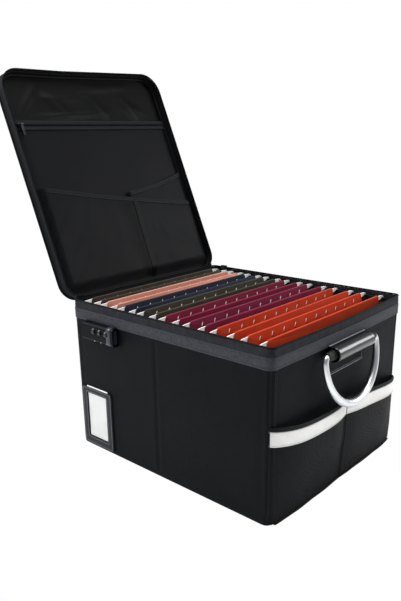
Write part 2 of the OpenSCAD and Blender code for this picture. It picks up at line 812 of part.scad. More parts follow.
// A pull hanging from a bar along X: a bored eye and a tongue that tapers to a round end
module pull(size) {
    l = size[0];
    w = size[1];
    end_r = w / 2 - 0.8;
    difference() {
        union() {
            translate([-eye_w / 2, 0, 0]) rotate([0, 90, 0]) cylinder(r = eye_r, h = eye_w);
            translate([0, pull_t / 2, 0]) rotate([90, 0, 0]) linear_extrude(pull_t) {
                translate([-eye_w / 2, -3]) square([eye_w, 3]);
                for (m = [0, 1]) mirror([m, 0])
                    polygon([[0, -2.5], [eye_w / 2, -2.5], [w / 2, -6], [end_r, end_r - l], [0, end_r - l]]);
                translate([0, end_r - l]) circle(end_r);
            }
        }
        translate([-eye_w, 0, 0]) rotate([0, 90, 0]) cylinder(r = bar_r + eye_play, h = 2 * eye_w);
    }
}

// The lid zip's slider, parked where the zip begins, beside the lid's hinge
module zip_slider() {
    color("#2c2d30") translate([slider_x, slider_y, box_h]) {
        translate([0, 0, -teeth_d - slider_skirt]) slider_channel(slider_l, teeth_d, teeth_d + slider_skirt);
        translate([0, slider_face, -teeth_d]) bail();
    }
}

module zip_pull() {
    color("#3a3b3e") translate([slider_x, slider_y + slider_face + bar_out, box_h - teeth_d]) pull(pull_size);
}

// The lid

module lid_outline(g) {
    translate([lid_l / 2, 0]) round_rect(lid_l + 2 * g, lid_w + 2 * g, lid_corner_r + g);
}

// The lid's outer cloth: a shallow tray with piping round its edge
module lid_shell() {
    color("#191a1c") on_lid() difference() {
        translate([0, 0, lid_tape_top]) linear_extrude(lid_depth - lid_tape_top) lid_outline(0);
        translate([0, 0, lid_tape_top - 1]) linear_extrude(lid_depth - cloth_t - lid_tape_top + 1)
            lid_outline(-cloth_t);
    }
}

module lid_board() {
    color("#8a8780") on_lid() translate([0, 0, lid_depth - cloth_t - board_t]) linear_extrude(board_t)
        lid_outline(-lid_inset);
}

// The lining: a panel over the board and a turned-down edge inside the gusset
module lid_lining() {
    color("#26272a") on_lid() {
        translate([0, 0, lining_at]) linear_extrude(lining_t) lid_outline(-lid_inset);
        translate([0, 0, lid_tape_top]) linear_extrude(lining_at - lid_tape_top) difference() {
            lid_outline(-lid_inset);
            lid_outline(-lid_inset - lining_t);
        }
    }
}

module lid_piping() {
    color("#101113") on_lid() translate([lid_l / 2, 0, lid_depth - piping_r - 0.6])
        run_whole(lid_l, lid_w, lid_corner_r) intersection() {
            circle(piping_r);
            translate([0, -5]) square([5, 10]);
        }
}

module lid_zip_tape() {
    color("#26272a") on_lid() translate([lid_l / 2, 0, teeth_gap + teeth_d])
        run_round(lid_l, lid_w, lid_corner_r, lid_corner_r) translate([-tape_t, 0])
            square([tape_t, tape_h - teeth_d]);
}

module lid_zip_teeth() {
    color("#111214") on_lid() translate([lid_l / 2, 0, teeth_gap])
        run_round(lid_l, lid_w, lid_corner_r, lid_corner_r) teeth_profile();
}

// A sheet of mesh on the lid at height at, from the hinge up to a mouth that runs from u0 to u1
module pocket_sheet(at, y0, y1, u0, u1) {
    translate([0, 0, at]) linear_extrude(mesh_t) intersection() {
        lid_outline(-pocket_inset);
        polygon([[0, y0], [u0, y0], [u1, y1], [0, y1]]);
    }
}

// The big zipped pocket's mesh front
module lid_mesh_panel() {
    edge = pocket_zip_at - pocket_tape_w / 2;
    color("#1d1e21") on_lid() pocket_sheet(mesh_at, -lid_w / 2, lid_w / 2, edge, edge);
}

// The pocket's zip: a tape across the lid, turned back to the lining, and its closed row of teeth
module lid_pocket_zip() {
    w = lid_w - 2 * pocket_inset;
    half = pocket_tape_w / 2;
    color("#17181a") on_lid() translate([pocket_zip_at, -w / 2, mesh_at]) {
        translate([-half + EPS, 0, 0]) cube([pocket_tape_w - EPS, w, mesh_t]);
        translate([-pocket_teeth[0] / 2, 6, -pocket_teeth[1]])
            cube([pocket_teeth[0], w - 12, pocket_teeth[1]]);
        translate([half - mesh_t, 0, mesh_t]) cube([mesh_t, w, pocket_gap]);
    }
}

// Places a piece on the pocket's zip: its X along the zip, its Y away from the lid, its -Z to the hinge
module on_pocket_zip() {
    on_lid() translate([pocket_zip_at, pocket_slider_y, mesh_at]) rotate([-90, 0, -90]) children();
}

module lid_pocket_slider() {
    color("#b9bcc0") on_pocket_zip() {
        translate([0, slider_play, 0]) rotate([-90, 0, 0])
            slider_channel(pocket_slider_l, pocket_teeth[0], pocket_teeth[1] - slider_play);
        translate([0, pocket_face, 0]) bail();
    }
}

module lid_pocket_pull() {
    color("#c4c6c9") on_pocket_zip() translate([0, pocket_face + bar_out, 0]) pull(pocket_pull_size);
}

// The two slip pockets, whose mouths cross in a shallow V
module lid_rear_pocket() {
    color("#202124") on_lid()
        pocket_sheet(rear_at, pocket_seam - pocket_lap, lid_w / 2, rear_mouth[0], rear_mouth[1]);
}

module lid_front_pocket() {
    color("#202124") on_lid() pocket_sheet(front_at, -lid_w / 2, lid_w / 2, front_mouth[0], front_mouth[1]);
}

// The cloth hinge between the box's end wall and the lid's gusset
module hinge_strip() {
    t = 1;
    w = box_w - 2 * lid_corner_r - 4;
    color("#1a1b1d") {
        translate([-box_l / 2, -w / 2, band_top]) cube([t, w, box_h - band_top - 0.4]);
        on_lid() translate([0, -w / 2, 0.4]) cube([t, w, lid_tape_top - 0.4]);
        translate([-box_l / 2, w / 2, box_h]) rotate([90, 0, 0]) cylinder(r = t, h = w);
    }
}

outer_shell();
base_panel();
wall_boards();
lining();
rim_band();
body_zip_tape();
body_zip_teeth();
hanging_rails();
rail_clips();
lock_housing();
lock_dial(0);  // lock_dial_1
lock_dial(1);  // lock_dial_2
lock_dial(2);  // lock_dial_3
lock_dial_shaft();
lock_button();
lock_back_plate();
label_frame();
label_window();
label_card();
handle_straps();
handle_sleeves();
ring(0);  // handle_ring
ring(1);  // rear_handle_ring
end_pocket();
end_pocket_band();
end_pocket_binding();
zip_slider();
zip_pull();
lid_shell();
lid_board();
lid_lining();
lid_piping();
lid_zip_tape();
lid_zip_teeth();
lid_mesh_panel();
lid_pocket_zip();
lid_pocket_slider();
lid_pocket_pull();
lid_rear_pocket();
lid_front_pocket();
hinge_strip();
folder(0);  // folder_1
folder(1);  // folder_2
folder(2);  // folder_3
folder(3);  // folder_4
folder(4);  // folder_5
folder(5);  // folder_6
folder(6);  // folder_7
folder(7);  // folder_8
folder_rods(0);  // folder_1_rods
folder_rods(1);  // folder_2_rods
folder_rods(2);  // folder_3_rods
folder_rods(3);  // folder_4_rods
folder_rods(4);  // folder_5_rods
folder_rods(5);  // folder_6_rods
folder_rods(6);  // folder_7_rods
folder_rods(7);  // folder_8_rods
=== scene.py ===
"""Looks of the portable file box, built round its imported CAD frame.

Lengths are in millimetres in the shape code and become metres where a mesh is made. X runs along the box
towards the handle end, Y across it, Z up. Points on the lid are written as (u, y, w) on the shut lid: u from
the hinge, w up from the rim; Lid.place turns them onto the open lid.
"""

import json
import logging
import math
from collections.abc import Callable, Iterable, Sequence
from dataclasses import dataclass
from enum import Enum

import bmesh
import bpy
import numpy as np
from mathutils import Matrix, Vector

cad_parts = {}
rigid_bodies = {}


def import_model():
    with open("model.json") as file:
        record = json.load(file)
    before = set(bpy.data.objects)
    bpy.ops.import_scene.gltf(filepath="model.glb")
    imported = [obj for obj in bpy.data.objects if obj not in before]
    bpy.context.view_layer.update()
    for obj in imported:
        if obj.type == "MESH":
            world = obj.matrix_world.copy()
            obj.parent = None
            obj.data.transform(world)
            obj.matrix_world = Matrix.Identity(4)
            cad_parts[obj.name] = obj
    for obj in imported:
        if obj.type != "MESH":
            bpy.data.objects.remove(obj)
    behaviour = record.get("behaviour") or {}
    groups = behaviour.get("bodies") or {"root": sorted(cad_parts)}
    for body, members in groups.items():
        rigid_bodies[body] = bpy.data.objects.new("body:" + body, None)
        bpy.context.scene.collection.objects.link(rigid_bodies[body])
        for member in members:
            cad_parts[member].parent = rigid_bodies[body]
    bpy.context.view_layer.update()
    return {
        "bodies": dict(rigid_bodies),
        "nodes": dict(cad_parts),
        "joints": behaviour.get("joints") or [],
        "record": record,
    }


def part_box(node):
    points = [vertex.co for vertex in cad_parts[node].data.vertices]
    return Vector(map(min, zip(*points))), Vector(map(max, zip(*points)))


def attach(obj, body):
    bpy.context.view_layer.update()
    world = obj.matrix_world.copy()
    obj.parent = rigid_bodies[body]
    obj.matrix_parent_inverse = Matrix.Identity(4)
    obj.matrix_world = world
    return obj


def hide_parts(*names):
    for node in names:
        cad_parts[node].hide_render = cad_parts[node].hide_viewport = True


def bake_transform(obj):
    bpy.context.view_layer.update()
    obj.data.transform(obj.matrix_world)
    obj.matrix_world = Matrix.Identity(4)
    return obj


log = logging.getLogger("file_box")

MM = 0.001
SEED = 7
CLOTH_UV = "Cloth"
UP = (0.0, 0.0, 1.0)


# Materials


class Pattern(Enum):
    """The fine relief of a material."""

    PLAIN = "plain"
    WEAVE = "weave"
    TWILL = "twill"
    RIBS = "ribs"
    GRAIN = "grain"
    BRUSHED = "brushed"
    PAPER = "paper"


@dataclass(frozen=True)
class Finish:
    """What a real material gives the eye.

    Args:
        name: The material's name.
        colour: Its colour as hex sRGB.
        roughness: How matt it is.
        pattern: Its fine relief.
        pitch: The relief's repeat in millimetres.
        depth: The relief's height in millimetres.
        second: The colour that patches and the relief's thread crowns take: wear on most finishes, painted
            light on the shell cloth's crowns and on the folder cards.
        crown: How much of the second colour the relief's crowns take.
        wear: How much of it large soft patches take; on the folder cards these patches are a painted lit
            tone.
        patch: The size of those patches in millimetres.
        by_uv: Whether the relief follows the piece's own real-size UV, or else object space.
    """

    name: str
    colour: str
    roughness: float
    pattern: Pattern = Pattern.PLAIN
    pitch: float = 1.0
    depth: float = 0.05
    second: str = "#808080"
    crown: float = 0.0
    wear: float = 0.1
    patch: float = 14.0
    by_uv: bool = False
    metallic: float = 0.0
    sheen: float = 0.0
    coat: float = 0.0
    specular: float = 0.5
    transmission: float = 0.0


def linear(colour: str) -> tuple[float, float, float, float]:
    """Turns hex sRGB into the linear colour that a shader takes."""
    parts = [int(colour[i : i + 2], 16) / 255 for i in (1, 3, 5)]
    return (*(v / 12.92 if v <= 0.04045 else ((v + 0.055) / 1.055) ** 2.4 for v in parts), 1.0)


def add(tree: bpy.types.NodeTree, kind: str, inputs: dict | None = None, **props) -> bpy.types.Node:
    """Adds a node.

    Args:
        tree: The tree it goes in.
        kind: Its type.
        inputs: Its inputs by name or number; a socket is linked and any other value is set.
        **props: Its own settings.

    Returns:
        The node.
    """
    node = tree.nodes.new(kind)
    for key, value in props.items():
        setattr(node, key, value)
    for key, value in (inputs or {}).items():
        if isinstance(value, bpy.types.NodeSocket):
            tree.links.new(value, node.inputs[key])
        else:
            node.inputs[key].default_value = value
    return node


class Painter:
    """Makes the node material of each finish once."""

    def __init__(self) -> None:
        self._made: dict[str, bpy.types.Material] = {}

    def material(self, finish: Finish) -> bpy.types.Material:
        """Gives the finish's material, made on first use."""
        if finish.name not in self._made:
            self._made[finish.name] = self._build(finish)
        return self._made[finish.name]

    def dress(self, obj: bpy.types.Object, finish: Finish) -> bpy.types.Object:
        """Gives a whole object one finish."""
        material = self.material(finish)
        if not obj.material_slots:
            obj.data.materials.append(material)
        for place in obj.material_slots:
            place.material = material
        return obj

    def _build(self, finish: Finish) -> bpy.types.Material:
        """Makes the nodes: the relief drives the bump and, with the soft patches, the colour, some of it
        painted light.
        """
        material = bpy.data.materials.new(finish.name)
        material.use_nodes = True
        tree = material.node_tree
        tree.nodes.clear()
        if finish.by_uv:
            place = add(tree, "ShaderNodeUVMap", uv_map=CLOTH_UV).outputs["UV"]
        else:
            place = add(tree, "ShaderNodeTexCoord").outputs["Object"]
        relief = self._relief(tree, place, finish)
        patches = self._noise(tree, place, finish.patch, detail=3.0)
        # Soft patches of the second colour: wear on most finishes, a painted lit tone on the folder cards
        wear_and_lit_patches = self._math(tree, "MULTIPLY_ADD", patches, 2.6, -0.8, clamp=True)
        share = self._math(tree, "MULTIPLY_ADD", wear_and_lit_patches, finish.wear, 0.0)
        share = self._math(tree, "MULTIPLY_ADD", relief, finish.crown, share, clamp=True)
        colour = add(
            tree,
            "ShaderNodeMix",
            {"Factor": share, "A": linear(finish.colour), "B": linear(finish.second)},
            data_type="RGBA",
        )
        matt = self._math(tree, "MULTIPLY_ADD", patches, 0.12, finish.roughness - 0.06, clamp=True)
        bump = add(tree, "ShaderNodeBump", {"Height": relief, "Distance": finish.depth * MM, "Strength": 1.0})
        shader = add(
            tree,
            "ShaderNodeBsdfPrincipled",
            {
                "Base Color": next(o for o in colour.outputs if o.type == "RGBA"),
                "Roughness": matt,
                "Metallic": finish.metallic,
                "Sheen Weight": finish.sheen,
                "Sheen Roughness": 0.4,
                "Coat Weight": finish.coat,
                "Coat Roughness": 0.12,
                "Transmission Weight": finish.transmission,
                "Normal": bump.outputs["Normal"],
            },
        )
        if not finish.metallic:
            shader.inputs["Specular IOR Level"].default_value = finish.specular
        add(tree, "ShaderNodeOutputMaterial", {"Surface": shader.outputs["BSDF"]})
        return material

    def _math(self, tree: bpy.types.NodeTree, operation: str, *values, clamp: bool = False):
        """Does one sum on sockets or numbers."""
        node = add(tree, "ShaderNodeMath", dict(enumerate(values)), operation=operation, use_clamp=clamp)
        return node.outputs[0]

    def _noise(self, tree: bpy.types.NodeTree, place, size: float, detail: float = 2.0):
        """Soft noise, its blobs that many millimetres wide."""
        node = add(tree, "ShaderNodeTexNoise", {"Vector": place, "Scale": 1 / (size * MM), "Detail": detail})
        return node.outputs["Fac"]

    def _wave(self, tree: bpy.types.NodeTree, value, pitch: float):
        """A sine of that repeat in millimetres."""
        turned = self._math(tree, "MULTIPLY", value, 2 * math.pi / (pitch * MM))
        return self._math(tree, "SINE", turned)

    def _relief(self, tree: bpy.types.NodeTree, place, finish: Finish):
        """The height of the finish's pattern, about 0 to 1."""
        axes = add(tree, "ShaderNodeSeparateXYZ", {"Vector": place}).outputs
        pitch = finish.pitch
        if finish.pattern is Pattern.WEAVE:
            # Over and under: the crown of each thread is a dot
            warp, weft = self._wave(tree, axes[0], pitch), self._wave(tree, axes[1], pitch)
            product = self._math(tree, "MULTIPLY", warp, weft)
            return self._math(tree, "MULTIPLY_ADD", product, 0.5, 0.5)
        if finish.pattern is Pattern.TWILL:
            slant = self._math(tree, "ADD", axes[0], axes[1])
            return self._math(tree, "MULTIPLY_ADD", self._wave(tree, slant, pitch), 0.5, 0.5)
        if finish.pattern is Pattern.RIBS:
            fine = self._noise(tree, place, 0.6 * pitch)
            ribs = self._math(tree, "MULTIPLY_ADD", self._wave(tree, axes[0], pitch), 0.35, 0.3)
            return self._math(tree, "MULTIPLY_ADD", fine, 0.5, ribs)
        if finish.pattern is Pattern.GRAIN:
            cells = add(tree, "ShaderNodeTexVoronoi", {"Vector": place, "Scale": 1 / (pitch * MM)})
            return self._math(tree, "POWER", cells.outputs["Distance"], 0.6)
        if finish.pattern is Pattern.BRUSHED:
            long = add(
                tree, "ShaderNodeMapping", {"Vector": place, "Scale": (1.0, 0.06, 1.0)}, vector_type="POINT"
            ).outputs["Vector"]
            return self._noise(tree, long, pitch, detail=4.0)
        if finish.pattern is Pattern.PAPER:
            return self._noise(tree, place, pitch, detail=6.0)
        return self._noise(tree, place, pitch)


# Coated 600-denier cloth: near black, its thread crowns painted a lighter colour as pin-prick highlights. The
# real weave of about 0.8 mm is too fine to show, so it is drawn almost three times as coarse
SHELL = Finish("coated_polyester_cloth", "#020203", 0.55, Pattern.WEAVE, 2.3, 0.24, "#1d2024", 0.5, 0.1, 60,
               True, specular=0.06)
# The rim's webbing is dyed slate and rubbed pale in patches
WEBBING = Finish("worn_polyester_webbing", "#18191d", 0.7, Pattern.RIBS, 1.5, 0.16, "#50535c", 0.3, 0.3, 5,
                 True, sheen=0.1, specular=0.2)
# Zip tape is matt, with a fine rib across it
TAPE = Finish("woven_zip_tape", "#0a0b0c", 0.75, Pattern.RIBS, 1.1, 0.14, "#26282c", 0.3, 0.15, 9, True,
              specular=0.12)
# The box's half of the zip tape is the slate of the webbing below it, in finer ribs
RIM_TAPE = Finish("slate_zip_tape", "#101114", 0.7, Pattern.RIBS, 1.1, 0.14, "#3a3d44", 0.25, 0.3, 9, True,
                  specular=0.12)
# Extruded nylon: dark and smooth, with a faint gloss on each turn
COIL = Finish("nylon_zip_coil", "#08090a", 0.5, Pattern.PLAIN, 0.8, 0.02, "#1d1f22", 0.1, 0.2, 5,
              specular=0.08)
# The lining is calendered nylon: its folds catch soft long highlights
NYLON = Finish("calendered_nylon_lining", "#030304", 0.42, Pattern.WEAVE, 0.6, 0.03, "#101113", 0.1, 0.1, 40,
               True, specular=0.06)
# The same nylon, painted greyer as the sheen it shows where it is pulled tight over the lid's edge
GUSSET = Finish("grey_nylon_gusset", "#0c0d0f", 0.4, Pattern.WEAVE, 0.7, 0.03, "#2c2e33", 0.1, 0.2, 30, True,
                specular=0.16)
# Knitted strands: a grey veil over what lies behind
NET = Finish("knitted_nylon_net", "#08090b", 0.5, Pattern.PLAIN, 0.4, 0.05, "#1c1d21", 0.3, 0.2, 20,
             specular=0.1)
# A folded nylon edge, ribbed across and almost black
HEM = Finish("folded_nylon_hem", "#040505", 0.55, Pattern.RIBS, 0.9, 0.06, "#17191c", 0.2, 0.3, 12, True,
             specular=0.1)
# The pale tape is chalky, with soft grey patches where it was handled
PALE = Finish("reflective_pale_tape", "#dcdbd8", 0.55, Pattern.RIBS, 1.0, 0.08, "#f6f5f2", 0.3, 0.35, 18,
              True, sheen=0.1)
# Rolled grosgrain edges read as soft black lines
BINDING = Finish("rolled_grosgrain_binding", "#050506", 0.6, Pattern.PLAIN, 0.7, 0.1, "#1a1b1e", 0.3, 0.2, 8,
                 specular=0.12)
# Rubbed edges of straps and webbing: thin pale and slate lines, broken up by wear
PALE_EDGE = Finish("worn_pale_edge_cord", "#5d6067", 0.6, Pattern.PLAIN, 0.8, 0.06, "#a6a9b0", 0.3, 0.5, 9)
DARK_EDGE = Finish("worn_slate_edge_cord", "#1d1f23", 0.6, Pattern.PLAIN, 0.8, 0.06, "#4a4d54", 0.3, 0.5, 9,
                   specular=0.2)
# Leatherette shows a fine pebble under a clear gloss
LEATHER = Finish("glossy_leatherette", "#070809", 0.34, Pattern.GRAIN, 1.1, 0.05, "#141518", 0.2, 0.1, 16,
                 True, coat=0.5, specular=0.5)
# Moulded rubber is matt and even
RUBBER = Finish("matt_moulded_rubber", "#070708", 0.62, Pattern.PLAIN, 0.7, 0.03, "#202124", 0.15, 0.1, 9,
                specular=0.3)
# Satin-anodised tube: a broad soft highlight with fine drawn lines
ALUMINIUM = Finish("satin_aluminium", "#cfd1d4", 0.3, Pattern.BRUSHED, 0.8, 0.012, "#e9eaec", 0.3, 0.25, 12,
                   metallic=1.0)
# Black-plated zinc: small dark mirrors
DARK_METAL = Finish("black_plated_slider", "#2d2f33", 0.3, Pattern.PLAIN, 1.2, 0.01, "#606369", 0.2, 0.2, 4,
                    metallic=0.9)
# Painted steel rail, half matt
RAIL = Finish("black_painted_rail", "#0b0c0e", 0.45, Pattern.PLAIN, 1.0, 0.015, "#24262a", 0.3, 0.2, 12,
              specular=0.2)
# Zinc-coated steel is grey and slightly streaked
STEEL = Finish("zinc_coated_steel", "#9fa2a6", 0.38, Pattern.BRUSHED, 1.0, 0.015, "#c7c9cc", 0.3, 0.3, 12,
               metallic=1.0)
# Injection-moulded ABS, from half matt to satin
CLIP = Finish("moulded_black_clip", "#141518", 0.5, Pattern.PLAIN, 0.9, 0.03, "#303236", 0.1, 0.1, 6)
LOCK = Finish("satin_lock_moulding", "#050609", 0.46, Pattern.PLAIN, 0.5, 0.02, "#12151c", 0.2, 0.2, 8,
              specular=0.07)
BUTTON = Finish("satin_release_button", "#161a24", 0.34, Pattern.PLAIN, 0.5, 0.02, "#39404f", 0.2, 0.2, 8,
                coat=0.1, specular=0.4)
DIAL = Finish("moulded_dial", "#08090a", 0.4, Pattern.PLAIN, 0.5, 0.02, "#2a2c30", 0.2, 0.2, 3, specular=0.4)
# Flat white dots: the index marks are paint filled into the moulding; the dots on the dials are painted
# glints where light catches each dial's top
MARK_AND_GLINT = Finish("painted_white_mark", "#e9e9e6", 0.5, Pattern.PLAIN, 0.5, 0.01, "#ffffff", 0.2, 0.1, 2)
# Embossed vinyl has a leathery grain and a dull shine
VINYL = Finish("embossed_slate_vinyl", "#0f1013", 0.5, Pattern.GRAIN, 1.0, 0.07, "#2c2f35", 0.25, 0.25, 14,
               True, specular=0.25)
# Clear film only shows as a shine over the card
FILM = Finish("clear_pvc_film", "#ffffff", 0.06, Pattern.PLAIN, 9.0, 0.02, "#ffffff", 0.1, 0.0, 20,
              transmission=1.0)
# Smooth uncoated card, almost pure white
CARD = Finish("white_label_card", "#fafaf9", 0.75, Pattern.PAPER, 0.9, 0.02, "#ffffff", 0.2, 0.2, 10)
# The folders' rods are dipped in white plastic, which rounds and brightens them
WHITE_COAT = Finish("white_dipped_steel", "#f2f1ee", 0.4, Pattern.PLAIN, 1.5, 0.02, "#ffffff", 0.3, 0.3, 6)
# Pressed grey board, fibrous
BOARD = Finish("grey_chipboard", "#8a8780", 0.85, Pattern.PAPER, 1.0, 0.05, "#a8a59d", 0.4, 0.3, 12)
# The floor panel's paper-backed cover
PANEL = Finish("covered_floor_panel", "#17181b", 0.6, Pattern.PAPER, 0.8, 0.05, "#303237", 0.3, 0.2, 20)
# Twisted bonded thread: each stitch glints along its lay
THREAD = Finish("black_bonded_thread", "#0d0e10", 0.5, Pattern.TWILL, 0.4, 0.04, "#383a3f", 0.3, 0.1, 4,
                specular=0.35)
PALE_THREAD = Finish("grey_bonded_thread", "#8e9096", 0.5, Pattern.TWILL, 0.4, 0.04, "#c2c4c8", 0.3, 0.1, 4)

# Dyed folder card, from the hinge to the handle end: its colour, and a lighter lit tone painted into its
# grain and soft patches
CARD_COLOURS = (
    ("#2c251d", "#4a3f33"),
    ("#ba7b69", "#d69c8b"),
    ("#141726", "#2a3046"),
    ("#2e2a20", "#4a4435"),
    ("#680a26", "#8a2346"),
    ("#660a2a", "#88234a"),
    ("#a82a08", "#c4441a"),
    ("#ae2d08", "#ca481c"),
)


# Meshes


def mesh_object(name: str, points: np.ndarray, faces: Sequence, edges: Sequence = ()) -> bpy.types.Object:
    """Makes an object from points in millimetres."""
    mesh = bpy.data.meshes.new(name)
    mesh.from_pydata((np.asarray(points, float).reshape(-1, 3) * MM).tolist(), list(edges), list(faces))
    mesh.update()
    obj = bpy.data.objects.new(name, mesh)
    bpy.context.scene.collection.objects.link(obj)
    return obj


def smooth(obj: bpy.types.Object, angle: float = 50.0) -> bpy.types.Object:
    """Shades it smooth apart from edges sharper than an angle in degrees."""
    obj.data.shade_smooth()
    obj.data.set_sharp_from_angle(angle=math.radians(angle))
    return obj


def joined(x, y, z) -> np.ndarray:
    """Points from their coordinates, each an array or one number."""
    return np.stack(np.broadcast_arrays(*(np.asarray(v, float) for v in (x, y, z))), -1)


def made_solid(obj: bpy.types.Object) -> bpy.types.Object:
    """Closes a small piece's seam and ends, and turns its faces outward."""
    body = bmesh.new()
    body.from_mesh(obj.data)
    bmesh.ops.remove_doubles(body, verts=body.verts, dist=1e-7)
    bmesh.ops.holes_fill(body, edges=body.edges[:], sides=16)
    bmesh.ops.recalc_face_normals(body, faces=body.faces[:])
    body.to_mesh(obj.data)
    body.free()
    return obj


def sheet_mesh(
    name: str,
    points: np.ndarray,
    closed: bool = False,
    flip: bool = False,
    uv: np.ndarray | None = None,
) -> bpy.types.Object:
    """Lays quads through rows of points, with a real-size UV layer in metres.

    Args:
        name: The object's name.
        points: Rows of points in millimetres, (rows, columns, 3). Seen from outside, columns run to the right
            and rows upwards.
        closed: Whether the last column joins the first.
        flip: Turns the faces to the other side.
        uv: The flat place of each point in millimetres, where it isn't the distance along rows and columns.

    Returns:
        The object.
    """
    points = np.asarray(points, float)
    rows, cols, _ = points.shape
    index = np.arange(rows * cols).reshape(rows, cols)
    ring = points
    if closed:
        index = np.concatenate([index, index[:, :1]], 1)
        ring = np.concatenate([points, points[:, :1]], 1)
        uv = None if uv is None else np.concatenate([uv, uv[:, :1]], 1)
    if uv is None:
        across = np.r_[0, np.cumsum(np.linalg.norm(np.diff(ring, axis=1), axis=2).mean(0))]
        along = np.r_[0, np.cumsum(np.linalg.norm(np.diff(points, axis=0), axis=2).mean(1))]
        uv = np.stack(np.meshgrid(across, along), -1)
    corners = [(0, 0), (0, 1), (1, 1), (1, 0)][:: -1 if flip else 1]
    height, width = index.shape[0] - 1, index.shape[1] - 1
    faces = np.stack([index[a : a + height, b : b + width] for a, b in corners], -1).reshape(-1, 4)
    flat = np.stack([uv[a : a + height, b : b + width] for a, b in corners], 2).reshape(-1, 2)
    obj = mesh_object(name, points, faces.tolist())
    layer = obj.data.uv_layers.new(name=CLOTH_UV)
    layer.data.foreach_set("uv", (flat * MM).ravel())
    return smooth(obj)


def disc_mesh(name: str, ring: np.ndarray, shares: Sequence[float], height: Callable, place: Callable,
              flip: bool = False) -> bpy.types.Object:
    """Fills a closed outline with shrunk copies of itself, its UV being the flat place.

    Args:
        name: The object's name.
        ring: The outline's points in millimetres, (columns, 2).
        shares: The size of each copy, from small to 1.
        height: Gives the height of flat points.
        place: Turns (x, y, height) points into the row frame.
        flip: Turns the faces down.

    Returns:
        The object.
    """
    centre = ring.mean(0)
    flat = np.stack([centre + (ring - centre) * s for s in shares])
    solid = np.concatenate([flat, height(flat)[..., None]], -1)
    obj = sheet_mesh(name, place(solid), closed=True, flip=not flip, uv=flat)
    pole = bmesh.new()
    pole.from_mesh(obj.data)
    pole.verts.ensure_lookup_table()
    inner = list(range(len(ring)))[:: -1 if flip else 1]
    face = pole.faces.new([pole.verts[k] for k in inner])
    face.smooth = True
    layer = pole.loops.layers.uv[CLOTH_UV]
    for loop, k in zip(face.loops, inner):
        loop[layer].uv = flat[0, k] * MM
    bmesh.ops.poke(pole, faces=[face])
    pole.to_mesh(obj.data)
    pole.free()
    return obj


def track(length: float, width: float, radius: float, step: float = 4.0, cut: float | None = None):
    """Walks round a rounded rectangle centred on the origin, anticlockwise from its -X end.

    Args:
        length: Its size along X.
        width: Its size along Y.
        radius: The radius of its corners.
        step: The distance between points on the straights.
        cut: Where given, the walk is open: it leaves out the -X end and starts and stops this far from it, or
            beyond that end's corners where it is 0.

    Returns:
        The points and their outward normals, each (n, 2).
    """
    a, b, r = length / 2, width / 2, radius
    points: list = []
    normals: list = []

    def side(start: tuple, end: tuple, normal: tuple) -> None:
        """Adds a straight side's points, without its end."""
        count = max(1, round(math.dist(start, end) / step))
        for k in range(count):
            points.append(np.array(start) + (np.array(end) - start) * k / count)
            normals.append(normal)

    def corner(x: float, y: float, begin: float) -> None:
        """Adds a quarter circle's points, without its end."""
        for k in range(8):
            turn = math.radians(begin + 90 * k / 8)
            points.append((x + r * math.cos(turn), y + r * math.sin(turn)))
            normals.append((math.cos(turn), math.sin(turn)))

    begin = -a + (cut or r)
    if cut is None:
        side((-a, b - r), (-a, r - b), (-1, 0))
    if not cut:
        corner(r - a, r - b, 180)
    side((begin, -b), (a - r, -b), (0, -1))
    corner(a - r, r - b, 270)
    side((a, r - b), (a, b - r), (1, 0))
    corner(a - r, b - r, 0)
    side((a - r, b), (begin, b), (0, 1))
    if cut:
        points.append((begin, b))
        normals.append((0, 1))
    else:
        corner(r - a, b - r, 90)
    if cut == 0:
        points.append((-a, b - r))
        normals.append((-1, 0))
    return np.array(points, float), np.array(normals, float)


def wall(points: np.ndarray, normals: np.ndarray, profile: Sequence[tuple[float, float]]) -> np.ndarray:
    """Raises a profile of (outwards, up) pairs along a walk, as rows of points."""
    rows = []
    for out, up in profile:
        flat = points + normals * out
        rows.append(np.concatenate([flat, np.full((len(flat), 1), up)], 1))
    return np.stack(rows)


def ease(value, low: float, high: float):
    """Rises smoothly from 0 at low to 1 at high."""
    t = np.clip((np.asarray(value, float) - low) / (high - low), 0, 1)
    return t * t * (3 - 2 * t)


# Geometry Nodes


